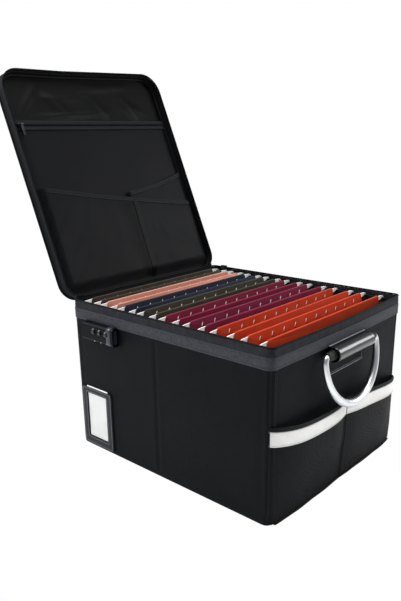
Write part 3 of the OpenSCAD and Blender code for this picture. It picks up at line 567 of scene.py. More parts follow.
class Recipe:
    """A Geometry Nodes tree made here, with named inputs, that turns into a plain mesh at once."""

    KINDS = {
        "Pitch": "NodeSocketFloat",
        "Radius": "NodeSocketFloat",
        "Hole": "NodeSocketFloat",
        "Swing": "NodeSocketFloat",
        "Amount": "NodeSocketFloat",
        "Size": "NodeSocketFloat",
        "Seed": "NodeSocketInt",
        "Sides": "NodeSocketInt",
        "Piece": "NodeSocketObject",
        "Material": "NodeSocketMaterial",
    }

    def __init__(self, name: str, names: Sequence[str]) -> None:
        self.tree = bpy.data.node_groups.new(name, "GeometryNodeTree")
        face = self.tree.interface
        face.new_socket("Geometry", in_out="INPUT", socket_type="NodeSocketGeometry")
        face.new_socket("Geometry", in_out="OUTPUT", socket_type="NodeSocketGeometry")
        for each in names:
            face.new_socket(each, in_out="INPUT", socket_type=self.KINDS[each])
        self.inlet = add(self.tree, "NodeGroupInput").outputs

    def node(self, kind: str, inputs: dict | None = None, **props) -> bpy.types.Node:
        """Adds a node to the tree."""
        return add(self.tree, kind, inputs, **props)

    def math(self, operation: str, *values) -> bpy.types.NodeSocket:
        """Does one sum on sockets or numbers."""
        return self.node("ShaderNodeMath", dict(enumerate(values)), operation=operation).outputs[0]

    def named(self, name: str, kind: str = "FLOAT") -> bpy.types.NodeSocket:
        """Reads a point attribute."""
        node = self.node("GeometryNodeInputNamedAttribute", {"Name": name}, data_type=kind)
        return node.outputs["Attribute"]

    def end(self, geometry: bpy.types.NodeSocket, realize: bool = False) -> None:
        """Closes the tree: real geometry, in the recipe's material."""
        if realize:
            geometry = self.node("GeometryNodeRealizeInstances", {"Geometry": geometry}).outputs[0]
        paint = {"Geometry": geometry, "Material": self.inlet["Material"]}
        painted = self.node("GeometryNodeSetMaterial", paint)
        self.node("NodeGroupOutput", {"Geometry": painted.outputs[0]})

    def grow(self, obj: bpy.types.Object, **values) -> bpy.types.Object:
        """Runs the tree on an object and leaves it a plain mesh.

        Args:
            obj: The object whose mesh goes in.
            **values: The named inputs.

        Returns:
            The same object.
        """
        modifier = obj.modifiers.new(self.tree.name, "NODES")
        modifier.node_group = self.tree
        for item in self.tree.interface.items_tree:
            if item.item_type == "SOCKET" and item.in_out == "INPUT" and item.name in values:
                modifier[item.identifier] = values[item.name]
        obj.update_tag()
        return bake(obj)


def bake(obj: bpy.types.Object) -> bpy.types.Object:
    """Turns an object with modifiers into a plain mesh."""
    graph = bpy.context.evaluated_depsgraph_get()
    graph.update()
    mesh = bpy.data.meshes.new_from_object(
        obj.evaluated_get(graph), preserve_all_data_layers=True, depsgraph=graph
    )
    obj.modifiers.clear()
    old, obj.data = obj.data, mesh
    bpy.data.meshes.remove(old)
    mesh.name = obj.name
    return obj


def thicken(obj: bpy.types.Object, thickness: float) -> bpy.types.Object:
    """Gives a sheet its thickness in millimetres, inwards."""
    solid = obj.modifiers.new("thick", "SOLIDIFY")
    solid.thickness = thickness * MM
    solid.offset = -1.0
    return bake(obj)


class Workshop:
    """The recipes for repeated and swept pieces."""

    def __init__(self, painter: Painter) -> None:
        self.painter = painter
        self.dress = painter.dress
        self.paint = painter.material
        self._along = self._make_along()
        self._at = self._make_at()
        self._net = self._make_net()
        self._cord = self._make_cord()
        self._ripple = self._make_ripple()
        spindle = [(-1.25, 0.02), (-1.0, 0.24), (0, 0.32), (1.0, 0.24), (1.25, 0.02)]
        self._stitch = self._spun("stitch", spindle, 6)
        self._tooth = self._coil_turn()
        self._dot = self._spun("dot", [(-0.3, 0.9), (0.0, 0.9), (0.12, 0.75), (0.2, 0.02)], 12)

    def _aimed(self, recipe: Recipe, primary) -> bpy.types.NodeSocket:
        """The turn that takes a piece's X to a direction and its Z towards the point's up."""
        up = recipe.named("up", "FLOAT_VECTOR")
        return recipe.node(
            "FunctionNodeAxesToRotation", {0: primary, 1: up}, primary_axis="X", secondary_axis="Z"
        ).outputs[0]

    def _make_along(self) -> Recipe:
        """Pieces at an even pitch along wire lines, each turned a little at random."""
        recipe = Recipe("repeat along lines", ["Pitch", "Piece", "Swing", "Seed", "Material"])
        lines = recipe.node("GeometryNodeMeshToCurve", {"Mesh": recipe.inlet["Geometry"]}).outputs[0]
        dots = recipe.node(
            "GeometryNodeCurveToPoints", {"Curve": lines, "Length": recipe.inlet["Pitch"]}, mode="LENGTH"
        ).outputs
        turn = self._aimed(recipe, dots["Tangent"])
        low = recipe.math("MULTIPLY", recipe.inlet["Swing"], -1.0)
        chance = recipe.node(
            "FunctionNodeRandomValue",
            {2: low, 3: recipe.inlet["Swing"], "Seed": recipe.inlet["Seed"]},
            data_type="FLOAT",
        ).outputs[1]
        swing = recipe.node("FunctionNodeEulerToRotation", {
            0: recipe.node("ShaderNodeCombineXYZ", {"Z": chance}).outputs[0]
        }).outputs[0]
        turn = recipe.node(
            "FunctionNodeRotateRotation", {0: turn, 1: swing}, rotation_space="LOCAL"
        ).outputs[0]
        self._place(recipe, dots["Points"], turn)
        return recipe

    def _make_at(self) -> Recipe:
        """A piece at each point."""
        recipe = Recipe("repeat at points", ["Piece", "Material"])
        turn = self._aimed(recipe, recipe.named("along", "FLOAT_VECTOR"))
        self._place(recipe, recipe.inlet["Geometry"], turn)
        return recipe

    def _place(self, recipe: Recipe, points, turn) -> None:
        """Puts the recipe's piece at points and ends the tree."""
        piece = recipe.node("GeometryNodeObjectInfo", {"Object": recipe.inlet["Piece"], "As Instance": True})
        placed = recipe.node(
            "GeometryNodeInstanceOnPoints",
            {"Points": points, "Instance": piece.outputs["Geometry"], "Rotation": turn},
        )
        recipe.end(placed.outputs[0], realize=True)

    def _make_net(self) -> Recipe:
        """Every face becomes a hole with a strand round it."""
        recipe = Recipe("net", ["Hole", "Material"])
        grown = recipe.node(
            "GeometryNodeExtrudeMesh",
            {"Mesh": recipe.inlet["Geometry"], "Offset Scale": 0.0, "Individual": True},
            mode="FACES",
        ).outputs
        shrunk = recipe.node(
            "GeometryNodeScaleElements",
            {"Geometry": grown["Mesh"], "Selection": grown["Top"], "Scale": recipe.inlet["Hole"]},
            domain="FACE",
        ).outputs[0]
        opened = recipe.node(
            "GeometryNodeDeleteGeometry", {"Geometry": shrunk, "Selection": grown["Top"]}, domain="FACE"
        ).outputs[0]
        recipe.end(opened)
        return recipe

    def _make_cord(self) -> Recipe:
        """A round section swept along wire lines, swelling as each point says."""
        recipe = Recipe("round section along lines", ["Radius", "Sides", "Material"])
        lines = recipe.node("GeometryNodeMeshToCurve", {"Mesh": recipe.inlet["Geometry"]}).outputs[0]
        ring = recipe.node(
            "GeometryNodeCurvePrimitiveCircle",
            {"Resolution": recipe.inlet["Sides"], "Radius": recipe.inlet["Radius"]},
        ).outputs["Curve"]
        swept = recipe.node(
            "GeometryNodeCurveToMesh",
            {"Curve": lines, "Profile Curve": ring, "Scale": recipe.named("swell"), "Fill Caps": True},
        ).outputs[0]
        recipe.end(recipe.node("GeometryNodeSetShadeSmooth", {"Geometry": swept}).outputs[0])
        return recipe

    def _make_ripple(self) -> Recipe:
        """The rule of slack cloth: it stands off along its normal where its slack lets it."""
        recipe = Recipe("slack cloth", ["Amount", "Size", "Seed", "Material"])
        scale = recipe.math("DIVIDE", 1.0, recipe.inlet["Size"])
        noise = recipe.node(
            "ShaderNodeTexNoise",
            {"Scale": scale, "Detail": 2.0, "W": recipe.inlet["Seed"]},
            noise_dimensions="4D",
        ).outputs["Fac"]
        lift = recipe.math("MULTIPLY", recipe.math("SUBTRACT", noise, 0.5), recipe.inlet["Amount"])
        lift = recipe.math("MULTIPLY", lift, recipe.named("slack"))
        normal = recipe.node("GeometryNodeInputNormal").outputs["Normal"]
        move = recipe.node("ShaderNodeVectorMath", {0: normal, "Scale": lift}, operation="SCALE").outputs[0]
        moved = recipe.node("GeometryNodeSetPosition", {"Geometry": recipe.inlet["Geometry"], "Offset": move})
        recipe.end(moved.outputs[0])
        return recipe

    def _spun(self, name: str, profile: Sequence[tuple[float, float]], sides: int) -> bpy.types.Object:
        """A small turned piece along X, kept off the scene, that recipes repeat."""
        turns = np.arange(sides) * 2 * math.pi / sides
        rows = [joined(x, r * np.cos(turns), r * np.sin(turns)) for x, r in profile]
        obj = made_solid(sheet_mesh(name, np.stack(rows), closed=True))
        obj.hide_render = True
        return obj

    def _coil_turn(self) -> bpy.types.Object:
        """One turn of a zip's nylon coil, standing across the zip."""
        around, across, lead, radius, wire = 9, 5, 0.35, 0.98, 0.3
        rows = []
        for i in range(around + 1):
            turn = 2 * math.pi * i / around
            centre = np.array([lead * math.sin(turn), radius * math.cos(turn), radius * math.sin(turn)])
            out = np.array([0, math.cos(turn), math.sin(turn)])
            rows.append([centre + wire * (math.cos(t) * out + math.sin(t) * np.array([1, 0, 0]))
                         for t in np.arange(across) * 2 * math.pi / across])
        obj = sheet_mesh("coil_turn", np.array(rows), closed=True, flip=True)
        obj.hide_render = True
        return obj

    def remove_patterns(self) -> None:
        """Takes away the small pieces that recipes repeated."""
        for obj in (self._stitch, self._tooth, self._dot):
            bpy.data.objects.remove(obj)

    def fit(
        self, obj: bpy.types.Object, finish: Finish, body: str, slot: str, *nodes: str
    ) -> bpy.types.Object:
        """Dresses a finished piece and seats it."""
        return seat(self.dress(obj, finish), body, slot, *nodes)

    def lines(self, name: str, walks: Iterable, ups: Iterable, closed: bool = False) -> bpy.types.Object:
        """Makes wire lines that carry the direction that is up at each point."""
        points, edges, up = [], [], []
        for walk, way in zip(walks, ups):
            first = len(points)
            points += [tuple(p) for p in walk]
            up += [tuple(w) for w in np.broadcast_to(np.asarray(way, float), (len(walk), 3))]
            edges += [(k, k + 1) for k in range(first, len(points) - 1)]
            if closed:
                edges.append((len(points) - 1, first))
        obj = mesh_object(name, np.array(points), [], edges)
        self._note(obj, "up", np.array(up))
        return obj

    def _note(self, obj: bpy.types.Object, name: str, values: np.ndarray) -> None:
        """Writes a number or a direction at each point of a mesh, as a recipe reads it."""
        kind, field = ("FLOAT", "value") if values.ndim == 1 else ("FLOAT_VECTOR", "vector")
        obj.data.attributes.new(name, kind, "POINT").data.foreach_set(field, values.ravel())

    def stitches(self, name: str, walks: Iterable, ups: Iterable, finish: Finish = THREAD,
                 closed: bool = False, pitch: float = 3.4) -> bpy.types.Object:
        """Sews a line of stitches along each walk."""
        return smooth(self._along.grow(
            self.lines(name, walks, ups, closed), Pitch=pitch * MM, Piece=self._stitch, Swing=0.06, Seed=SEED,
            Material=self.paint(finish),
        ))

    def coil(self, name: str, walk: np.ndarray, up) -> bpy.types.Object:
        """Winds a zip's coil along a walk."""
        return smooth(self._along.grow(
            self.lines(name, [walk], [up]), Pitch=1.35 * MM, Piece=self._tooth, Swing=0.04, Seed=SEED,
            Material=self.paint(COIL),
        ), 80)

    def dots(self, name: str, points: Sequence, along, finish: Finish) -> bpy.types.Object:
        """Puts a small domed dot at each point, standing along a direction."""
        return self.at_points(name, points, along, UP, self._dot, finish)

    def at_points(self, name: str, points: Sequence, along, up, piece: bpy.types.Object,
                  finish: Finish) -> bpy.types.Object:
        """Puts a piece at each point, its X along one direction and its Z towards another."""
        obj = mesh_object(name, np.array(points), [])
        for label, way in (("along", along), ("up", up)):
            self._note(obj, label, np.broadcast_to(np.asarray(way, float), (len(points), 3)))
        return smooth(self._at.grow(obj, Piece=piece, Material=self.paint(finish)))

    def cord(self, name: str, walks: Sequence, radius: float, finish: Finish, closed: bool = False,
             sides: int = 12, swell: np.ndarray | None = None) -> bpy.types.Object:
        """Runs a round cord along each walk.

        Args:
            name: The object's name.
            walks: The lines it runs along.
            radius: Its radius in millimetres.
            finish: Its finish.
            closed: Whether each end meets its start.
            sides: The faces round it.
            swell: The radius at each point as a share of radius, where it changes.

        Returns:
            The object.
        """
        obj = self.lines(name, walks, [UP] * len(walks), closed)
        self._note(obj, "swell", np.ones(len(obj.data.vertices)) if swell is None else swell)
        return smooth(self._cord.grow(obj, Radius=radius * MM, Sides=sides, Material=self.paint(finish)), 60)

    def ripple(self, obj: bpy.types.Object, slack: np.ndarray, amount: float, size: float,
               finish: Finish) -> bpy.types.Object:
        """Lets a sheet stand off by up to half of amount either way, where slack is above 0."""
        values = np.ones(len(obj.data.vertices))
        values[: np.size(slack)] = np.ravel(slack)
        self._note(obj, "slack", values)
        return smooth(self._ripple.grow(
            obj, Amount=amount * MM, Size=size * MM, Seed=SEED, Material=self.paint(finish)
        ))

    def net(self, name: str, surface: Callable, width: float, length: float, pitch: float, hole: float,
            keep: Callable) -> bpy.types.Object:
        """Knits a net over a surface: diamonds of that pitch, each open by the share hole of its size.

        Args:
            name: The object's name.
            surface: Turns flat (s, t) arrays in millimetres into points of the row frame.
            width: How far s runs.
            length: How far t runs.
            pitch: A diamond's diagonal.
            hole: The open share of a diamond's diagonal.
            keep: Says which flat points are in the net.

        Returns:
            The object.
        """
        half = pitch / 2
        across, along = int(width / half), int(length / half)
        i, j = np.meshgrid(np.arange(across + 1), np.arange(along + 1), indexing="ij")
        index = i * (along + 1) + j
        s, t = i * width / across, j * length / along
        within = (i > 0) & (i < across) & (j > 0) & (j < along)
        middle = ((i + j) % 2 == 1) & within & keep(s, t)
        ci, cj = i[middle], j[middle]
        faces = np.stack([index[ci - 1, cj], index[ci, cj - 1], index[ci + 1, cj], index[ci, cj + 1]], 1)
        used, faces = np.unique(faces, return_inverse=True)
        points = np.asarray(surface(s.ravel()[used], t.ravel()[used]))
        obj = mesh_object(name, points, faces.reshape(-1, 4).tolist())
        obj.data.shade_smooth()
        return self._net.grow(obj, Hole=hole, Material=self.paint(NET))


# Placing


def seat(obj: bpy.types.Object, body: str, slot: str, *nodes: str) -> bpy.types.Object:
    """Lets a finished piece ride on its body and stand for its CAD nodes."""
    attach(obj, body)
    if nodes:
        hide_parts(*nodes)
    log.info("%s rides on %s", obj.name, body)
    return obj


def cloth(obj: bpy.types.Object, across: float, high: float, on: str, held: str = "stretched",
          hole: float = 0.0) -> None:
    """Does nothing with a sheet: it is not declared.

    Args:
        obj: The sheet. Not used.
        across: Its length laid flat, in millimetres. Not used.
        high: Its height laid flat, in millimetres. Not used.
        on: The piece it lies on. Not used.
        held: How it is held. Not used.
        hole: The open share of a diamond's diagonal, where it is a net. Not used.
    """


@dataclass(frozen=True)
class BoxSize:
    """The box's sizes, as in the CAD."""

    length: float = 372.0
    width: float = 330.0
    height: float = 240.0
    corner: float = 9.0
    foot: float = 5.0
    band_low: float = 214.0
    band_high: float = 232.0
    band_out: float = 1.3
    webbing: tuple[float, float] = (211.0, 226.6)
    tape_high: float = 237.4
    wall: float = 5.0
    bow: float = 3.8
    flare: float = 3.0
    bottom_corner: float = 12.5

    @property
    def end(self) -> float:
        """The X of the handle end's face."""
        return self.length / 2

    @property
    def side(self) -> float:
        """The Y of a long side's face."""
        return self.width / 2

    def soft(self, grid: np.ndarray) -> np.ndarray:
        """Lets the ends give way: their rims flare, and the handle end bows out in its middle."""
        grid = np.array(grid, float)
        x, y, z = grid[..., 0], grid[..., 1], grid[..., 2]
        rise = np.clip(z / self.height, 0, 1) ** 1.5
        out = self.flare + self.bow * (x > 0) * np.cos(np.clip(y / self.side, -1, 1) * math.pi / 2)
        grid[..., 0] += np.sign(x) * ease(np.abs(x), self.end - 60, self.end - self.wall) * rise * out
        return grid

    def rounding(self, z: np.ndarray) -> np.ndarray:
        """Radius of the handle end's corners at a height: the sewn bottom pulls them rounder."""
        return self.corner + (self.bottom_corner - self.corner) * (1 - ease(z, self.foot, 34))

    def round_off(self, grid: np.ndarray, inset: float = 0.0) -> np.ndarray:
        """Pulls points at the handle end's bottom corners in to the rounding, less an inset."""
        grid = np.array(grid, float)
        x, y, z = grid[..., 0], grid[..., 1], grid[..., 2]
        radius = self.rounding(z)
        low = np.clip(self.foot - z, 0, self.foot)
        limit = radius - inset - self.foot + np.sqrt(self.foot**2 - low**2)
        over_x = np.maximum(x - self.end + radius, 0)
        over_y = np.maximum(np.abs(y) - self.side + radius, 0)
        far = np.maximum(np.hypot(over_x, over_y), 1e-6)
        pull = np.where((over_x > 0) & (over_y > 0), np.minimum(limit / far, 1), 1)
        grid[..., 0] = np.where(over_x > 0, self.end - radius + over_x * pull, x)
        grid[..., 1] = np.where(over_y > 0, np.sign(y) * (self.side - radius + over_y * pull), y)
        return grid


@dataclass
class Casing:
    """The box's sewn casing: shell, band, tape, coil, lining and the seams."""

    shop: Workshop
    size: BoxSize = BoxSize()
    crease_deep: float = 1.0
    crease_at: float = -9.0
    corner_dish: float = 0.7

    def build(self) -> None:
        """Makes the casing."""
        self._shell()
        self._base()
        self._band()
        self._tape()
        self._lining()
        self._boards()
        self._seams()

    def _relief(self, points: np.ndarray, normals: np.ndarray) -> np.ndarray:
        """How far the shell stands off its flat walls: the boards print through and the crease pulls in."""
        x, y, z = points[..., 0], points[..., 1], points[..., 2]
        long_side = np.abs(normals[..., 1])
        end_side = np.abs(normals[..., 0])
        free = ease(z, 8, 22) * (1 - ease(z, 204, 213))
        off = x - self.crease_at
        crease = 0.35 * np.exp(-(((np.abs(off) - 7) / 4) ** 2))
        crease -= self.crease_deep * np.exp(-((off / 1.8) ** 2))
        dish_x = np.exp(-(((np.abs(x) - (self.size.end - 13)) / 4.5) ** 2))
        dish_y = np.exp(-(((np.abs(y) - (self.size.side - 11)) / 3.5) ** 2))
        board = 0.25 * np.cos(np.clip(x / 170, -1, 1) * math.pi)
        return free * (long_side * (crease - self.corner_dish * dish_x + board) - 0.6 * end_side * dish_y)

    def _shell(self) -> None:
        """The outer cloth round the four walls, rounded at its foot."""
        s = self.size
        points, normals = track(s.length, s.width, s.corner, step=3.0)
        turns = np.radians(np.arange(0, 90, 15))
        foot = [(-s.foot * (1 - math.sin(t)), s.foot * (1 - math.cos(t))) for t in turns]
        rows = foot + [(0.0, float(z)) for z in np.linspace(s.foot, s.band_high, 62)]
        grid = wall(points, normals, rows)
        ways = np.broadcast_to(np.c_[normals, np.zeros(len(normals))], grid.shape)
        grid = s.soft(s.round_off(grid + ways * self._relief(grid, ways)[..., None]))
        obj = sheet_mesh("shell_cloth", grid, closed=True)
        z = grid[..., 2]
        slack = ease(z, 6, 20) * (1 - ease(z, 206, 213))
        obj = self.shop.ripple(obj, slack, 1.1, 55, SHELL)
        seat(obj, "box", "shell_cloth", "outer_shell")
        cloth(obj, 2 * (s.length + s.width), s.band_high, "wall_boards")

    def _base(self) -> None:
        """The cloth under the box."""
        s = self.size
        ring, normals = track(s.length, s.width, s.corner, step=3.0)
        ring = s.round_off(wall(ring, normals, [(-s.foot, 0.0)])[0])[:, :2]
        obj = disc_mesh("shell_base", ring, [0.02, 0.4, 0.75, 1.0], lambda flat: 0 * flat[..., 0],
                        lambda points: points, flip=True)
        self.shop.fit(obj, SHELL, "box", "shell_cloth")
        cloth(obj, s.length - 2 * s.foot, s.width - 2 * s.foot, "base_panel")

    def _band(self) -> None:
        """The webbing round the rim, its worn lower edge and its two rows of stitches."""
        s = self.size
        points, normals = track(s.length, s.width, s.corner)
        t, (low, high) = s.band_out, s.webbing
        rows = [(0, low), (0.7 * t, low + 0.05), (t, low + 0.6), (0.92 * t, low + 2.4)]
        rows += [(t, z) for z in np.linspace(low + 4, high - 4, 5)]
        rows += [(0.92 * t, high - 2.2), (t, high - 0.7), (0.8 * t, high - 0.1), (0.0, high)]
        grid = s.soft(wall(points, normals, rows))
        obj = sheet_mesh("rim_webbing", grid, closed=True)
        slack = np.zeros(grid.shape[:2])
        slack[3:-3] = 1
        obj = self.shop.ripple(obj, slack, 0.35, 12, WEBBING)
        seat(obj, "box", "band_webbing", "rim_band")
        cloth(obj, 2 * (s.length + s.width - 14), high - low + 3, "shell_cloth")
        edge = s.soft(wall(points, normals, [(0.75, low + 0.1)]))
        seat(self.shop.cord("rim_webbing_edge", edge, 0.5, DARK_EDGE, closed=True), "box", "band_webbing")
        lines = [s.soft(wall(points, normals, [(t, z)]))[0] for z in (low + 2.6, high - 2.4)]
        ways = [np.c_[normals, np.zeros(len(normals))]] * 2
        sewn = self.shop.stitches("rim_webbing_stitches", lines, ways, closed=True)
        seat(sewn, "box", "band_webbing")

    def _tape(self) -> None:
        """The box's half of the zip: its tape and its coil."""
        s = self.size
        points, normals = track(s.length, s.width, s.corner, cut=0)
        low = s.webbing[1]
        rows = [(0.1, low - 0.5), (0.75, low), (0.8, low + 1.5), (0.65, low + 5), (0.35, s.tape_high - 1),
                (-0.1, s.tape_high), (-0.8, s.tape_high), (-1.0, s.tape_high - 1), (-1.0, s.band_high)]
        obj = sheet_mesh("zip_tape", s.soft(wall(points, normals, rows)))
        self.shop.fit(obj, RIM_TAPE, "box", "zip_cloth", "body_zip_tape")
        middle = s.soft(wall(points, normals, [(-0.5, s.height - 1.3)]))[0]
        seat(self.shop.coil("zip_coil", middle, UP), "box", "zip_coil", "body_zip_teeth")
        seat(self.shop.cord("zip_coil_core", [middle], 1.15, COIL), "box", "zip_coil")

    def _lining(self) -> None:
        """The cloth inside the walls, turned over the rim."""
        s = self.size
        points, normals = track(s.length, s.width, s.corner, step=6)
        high = s.band_high
        rows = [(-1.05, high + 0.9), (-2.6, high + 0.7), (-4.2, high - 0.2), (-s.wall, high - 1.8)]
        rows += [(-s.wall, float(z)) for z in np.linspace(high - 8, 5.3, 24)]
        grid = s.soft(s.round_off(wall(points, normals, rows), s.wall))
        obj = sheet_mesh("box_lining", grid, closed=True)
        slack = np.zeros(grid.shape[:2])
        slack[6:-2] = 1
        obj = self.shop.ripple(obj, slack, 0.8, 30, NYLON)
        seat(obj, "box", "lining_cloth", "lining")
        cloth(obj, 2 * (s.length + s.width - 30), high - 2, "wall_boards")

    def _boards(self) -> None:
        """Boards in the walls: halves with a gap at the crease in the long ones, whole ones at the ends."""
        s = self.size
        gap, cloth, thick = 1.5, 1.25, 3.0
        reach = s.end - s.corner
        runs = [((0, way), s.side, *span) for way in (-1, 1)
                for span in ((-reach, -gap - way * self.crease_at), (gap - way * self.crease_at, reach))]
        runs += [((way, 0), s.end, s.corner - s.side, s.side - s.corner) for way in (-1, 1)]
        for k, (normal, far, start, stop) in enumerate(runs):
            right = np.array([-normal[1], normal[0]])
            spots = np.array(normal) * (far - cloth) + right * np.linspace(start, stop, 31)[:, None]
            grid = np.array([[(*spot, z) for spot in spots] for z in np.linspace(5.2, s.band_high - 1, 31)])
            obj = sheet_mesh(f"wall_board_{k + 1}", s.soft(s.round_off(grid, cloth)))
            self.shop.fit(thicken(obj, thick), BOARD, "box", "board", *(() if k else ("wall_boards",)))

    def _seams(self) -> None:
        """Two rows of stitches beside each corner on the end faces, and a piped seam down the corner."""
        s = self.size
        heights = np.arange(8.0, s.band_low - 1, 4)
        walks, ways = [], []
        for end in (-1, 1):
            for y in (s.side - 8.0, s.side - 11.0):
                for way in (-1, 1):
                    line = np.array([(end * (s.end + 0.05), way * y, z) for z in heights])
                    walks.append(s.soft(s.round_off(line, -0.05)))
                    ways.append((end, 0, 0))
        seat(self.shop.stitches("corner_seam_stitches", walks, ways), "box", "shell_cloth")
        out = s.corner * (1 - math.sqrt(0.5)) + 0.5
        corners = [np.array([(end * (s.end - out), way * (s.side - out), z) for z in heights])
                   for end in (-1, 1) for way in (-1, 1)]
        walks = [s.soft(s.round_off(corner, 0.7)) for corner in corners]
        seat(self.shop.cord("corner_seam_piping", walks, 1.1, BINDING), "box", "shell_cloth")


@dataclass
class Hinge:
    """The cloth strip that joins the box's rear wall to the lid."""

    shop: Workshop
    size: BoxSize = BoxSize()
    half: float = 159.0

    def build(self, lid: "Lid") -> None:
        """Makes the strip."""
        s = self.size
        y = np.linspace(-self.half, self.half, 90)
        box_x = self._edge(y, s.side, s.corner) - s.end - 0.1
        lid_u = self._edge(y, lid.width / 2, lid.corner)
        levels = (s.band_high, s.band_high + 2.5, s.band_high + 5.0, s.height - 1.2)
        rows = [joined(box_x, y, z) for z in levels]
        turned = [lid.place(joined(lid_u - 0.5 * ease(lid_u, 0, 0.5), y, w)) for w in (1.2, 3.5, 6.5, 9.7)]
        middle = 0.5 * (s.soft(rows[-1]) + turned[0]) + [-0.3, 0, -0.1]
        obj = sheet_mesh("hinge_cloth", np.array([*s.soft(np.array(rows)), middle, *turned]), flip=True)
        self.shop.dress(thicken(obj, 0.9), TAPE)
        -(s.end + 0.2) * MM
        -(s.end + 4.5) * MM
        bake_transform(obj)
        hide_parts("hinge_strip")
        cloth(obj, 2 * self.half, 18.5, "rim_webbing")

    @staticmethod
    def _edge(y: np.ndarray, side: float, corner: float) -> np.ndarray:
        """How far a rounded outline has drawn in from its end at y."""
        turn = np.clip(np.abs(y) - side + corner, 0, corner)
        return corner - np.sqrt(corner**2 - turn**2)


@dataclass
class HangingGear:
    """Rails, clips and the eight folders on their rods."""

    shop: Workshop
    frame: dict
    slots: int = 10
    slot_edge: float = 30.0
    slot_high: float = 229.4
    rod: float = 1.4
    # Where the slanted cut starts, from the middle and from the floor, and the way it faces
    cut_at: tuple[float, float] = (137.5, 238.7)
    cut_way: tuple[float, float] = (0.5, 0.87)
    # One end of a rod's outline, as (y, z): it tapers over the rail and is notched below
    rod_end: tuple[tuple[float, float], ...] = (
        (144.0, 236.6), (151.0, 236.3), (157.0, 235.4), (159.6, 233.8), (160.6, 231.8), (159.8, 229.6),
        (157.4, 229.6), (157.0, 232.95), (153.8, 232.95), (153.4, 231.8), (149.0, 230.9), (144.0, 229.8),
    )

    def build(self) -> None:
        """Dresses the rails and clips, and makes each folder's card, rods and slots."""
        dress, nodes = self.shop.dress, self.frame["nodes"]
        dress(nodes["hanging_rails"], RAIL)
        dress(nodes["rail_clips"], CLIP)
        tick = self._tick()
        for k, (colour, lit) in enumerate(CARD_COLOURS, 1):
            # The card's second colour is its lit tone, painted into its grain and soft patches
            card = Finish(f"folder_card_{k}", colour, 0.66, Pattern.PAPER, 0.7, 0.03, lit, 0.25, 0.3, 24,
                          specular=0.2)
            self._leaves(k, card)
            self._rods(k)
            self._ticks(k, tick)
        bpy.data.objects.remove(tick)

    def _leaves(self, k: int, card: Finish) -> None:
        """A folder's card as in the CAD, with the top corners of its leaves cut off slantwise."""
        node = self.frame["nodes"][f"folder_{k}"]
        body = bmesh.new()
        body.from_mesh(node.data)
        body.transform(node.matrix_world)
        bmesh.ops.remove_doubles(body, verts=body.verts, dist=1e-6)
        for way in (-1, 1):
            cut = bmesh.ops.bisect_plane(
                body, geom=[*body.verts, *body.edges, *body.faces], clear_outer=True,
                plane_co=(0, way * self.cut_at[0] * MM, self.cut_at[1] * MM),
                plane_no=(0, way * self.cut_way[0], self.cut_way[1]),
            )["geom_cut"]
            bmesh.ops.holes_fill(body, edges=[edge for edge in cut if isinstance(edge, bmesh.types.BMEdge)])
        obj = mesh_object(f"folder_{k}_card", np.zeros((0, 3)), [])
        body.to_mesh(obj.data)
        body.free()
        obj.data.materials.clear()
        self.shop.fit(smooth(obj, 40), card, f"hanging_folder_{k}", f"card_{k}", f"folder_{k}")

    def _rods(self, k: int) -> None:
        """A folder's two flat rods: slim strips whose notched ends drop over the rails."""
        low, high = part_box(f"folder_{k}_rods")
        outline = [*self.rod_end[::-1], *((-y, z) for y, z in self.rod_end)]
        count = len(outline)
        points, faces = [], []
        for middle in (low.x / MM + self.rod / 2, high.x / MM - self.rod / 2):
            first = len(points)
            points += [(middle + side * self.rod / 2, y, z) for side in (-1, 1) for y, z in outline]
            back, front = range(first, first + count), range(first + count, first + 2 * count)
            faces += [list(back)[::-1], list(front)]
            pairs = [(i, (i + 1) % count) for i in range(count)]
            faces += [(back[i], back[j], front[j], front[i]) for i, j in pairs]
        obj = smooth(mesh_object(f"folder_{k}_rod_strips", np.array(points), faces), 30)
        self.shop.fit(obj, WHITE_COAT, f"hanging_folder_{k}", "white_plastic", f"folder_{k}_rods")

    def _tick(self) -> bpy.types.Object:
        """The strip of rod that shows through a slot."""
        rows = [[(0.45 - 0.1 * abs(w), w + 0.35 * z, z) for w in (-wide, 0.0, wide)]
                for z, wide in ((-3.4, 0.3), (-2.2, 0.9), (0.0, 1.25), (2.2, 0.9), (3.4, 0.3))]
        tick = sheet_mesh("tick", np.array(rows))
        tick.hide_render = True
        return tick

    def _ticks(self, k: int, tick: bpy.types.Object) -> None:
        """The row of slots in a folder's hem."""
        low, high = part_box(f"folder_{k}")
        first = low.y / MM + self.slot_edge
        step = (high.y / MM - low.y / MM - 2 * self.slot_edge) / (self.slots - 1)
        x = low.x / MM + 3.05
        points = [(x, first + step * i, self.slot_high) for i in range(self.slots)]
        obj = self.shop.at_points(f"folder_{k}_slots", points, (1, 0, 0), UP, tick, WHITE_COAT)
        seat(obj, f"hanging_folder_{k}", "white_plastic")


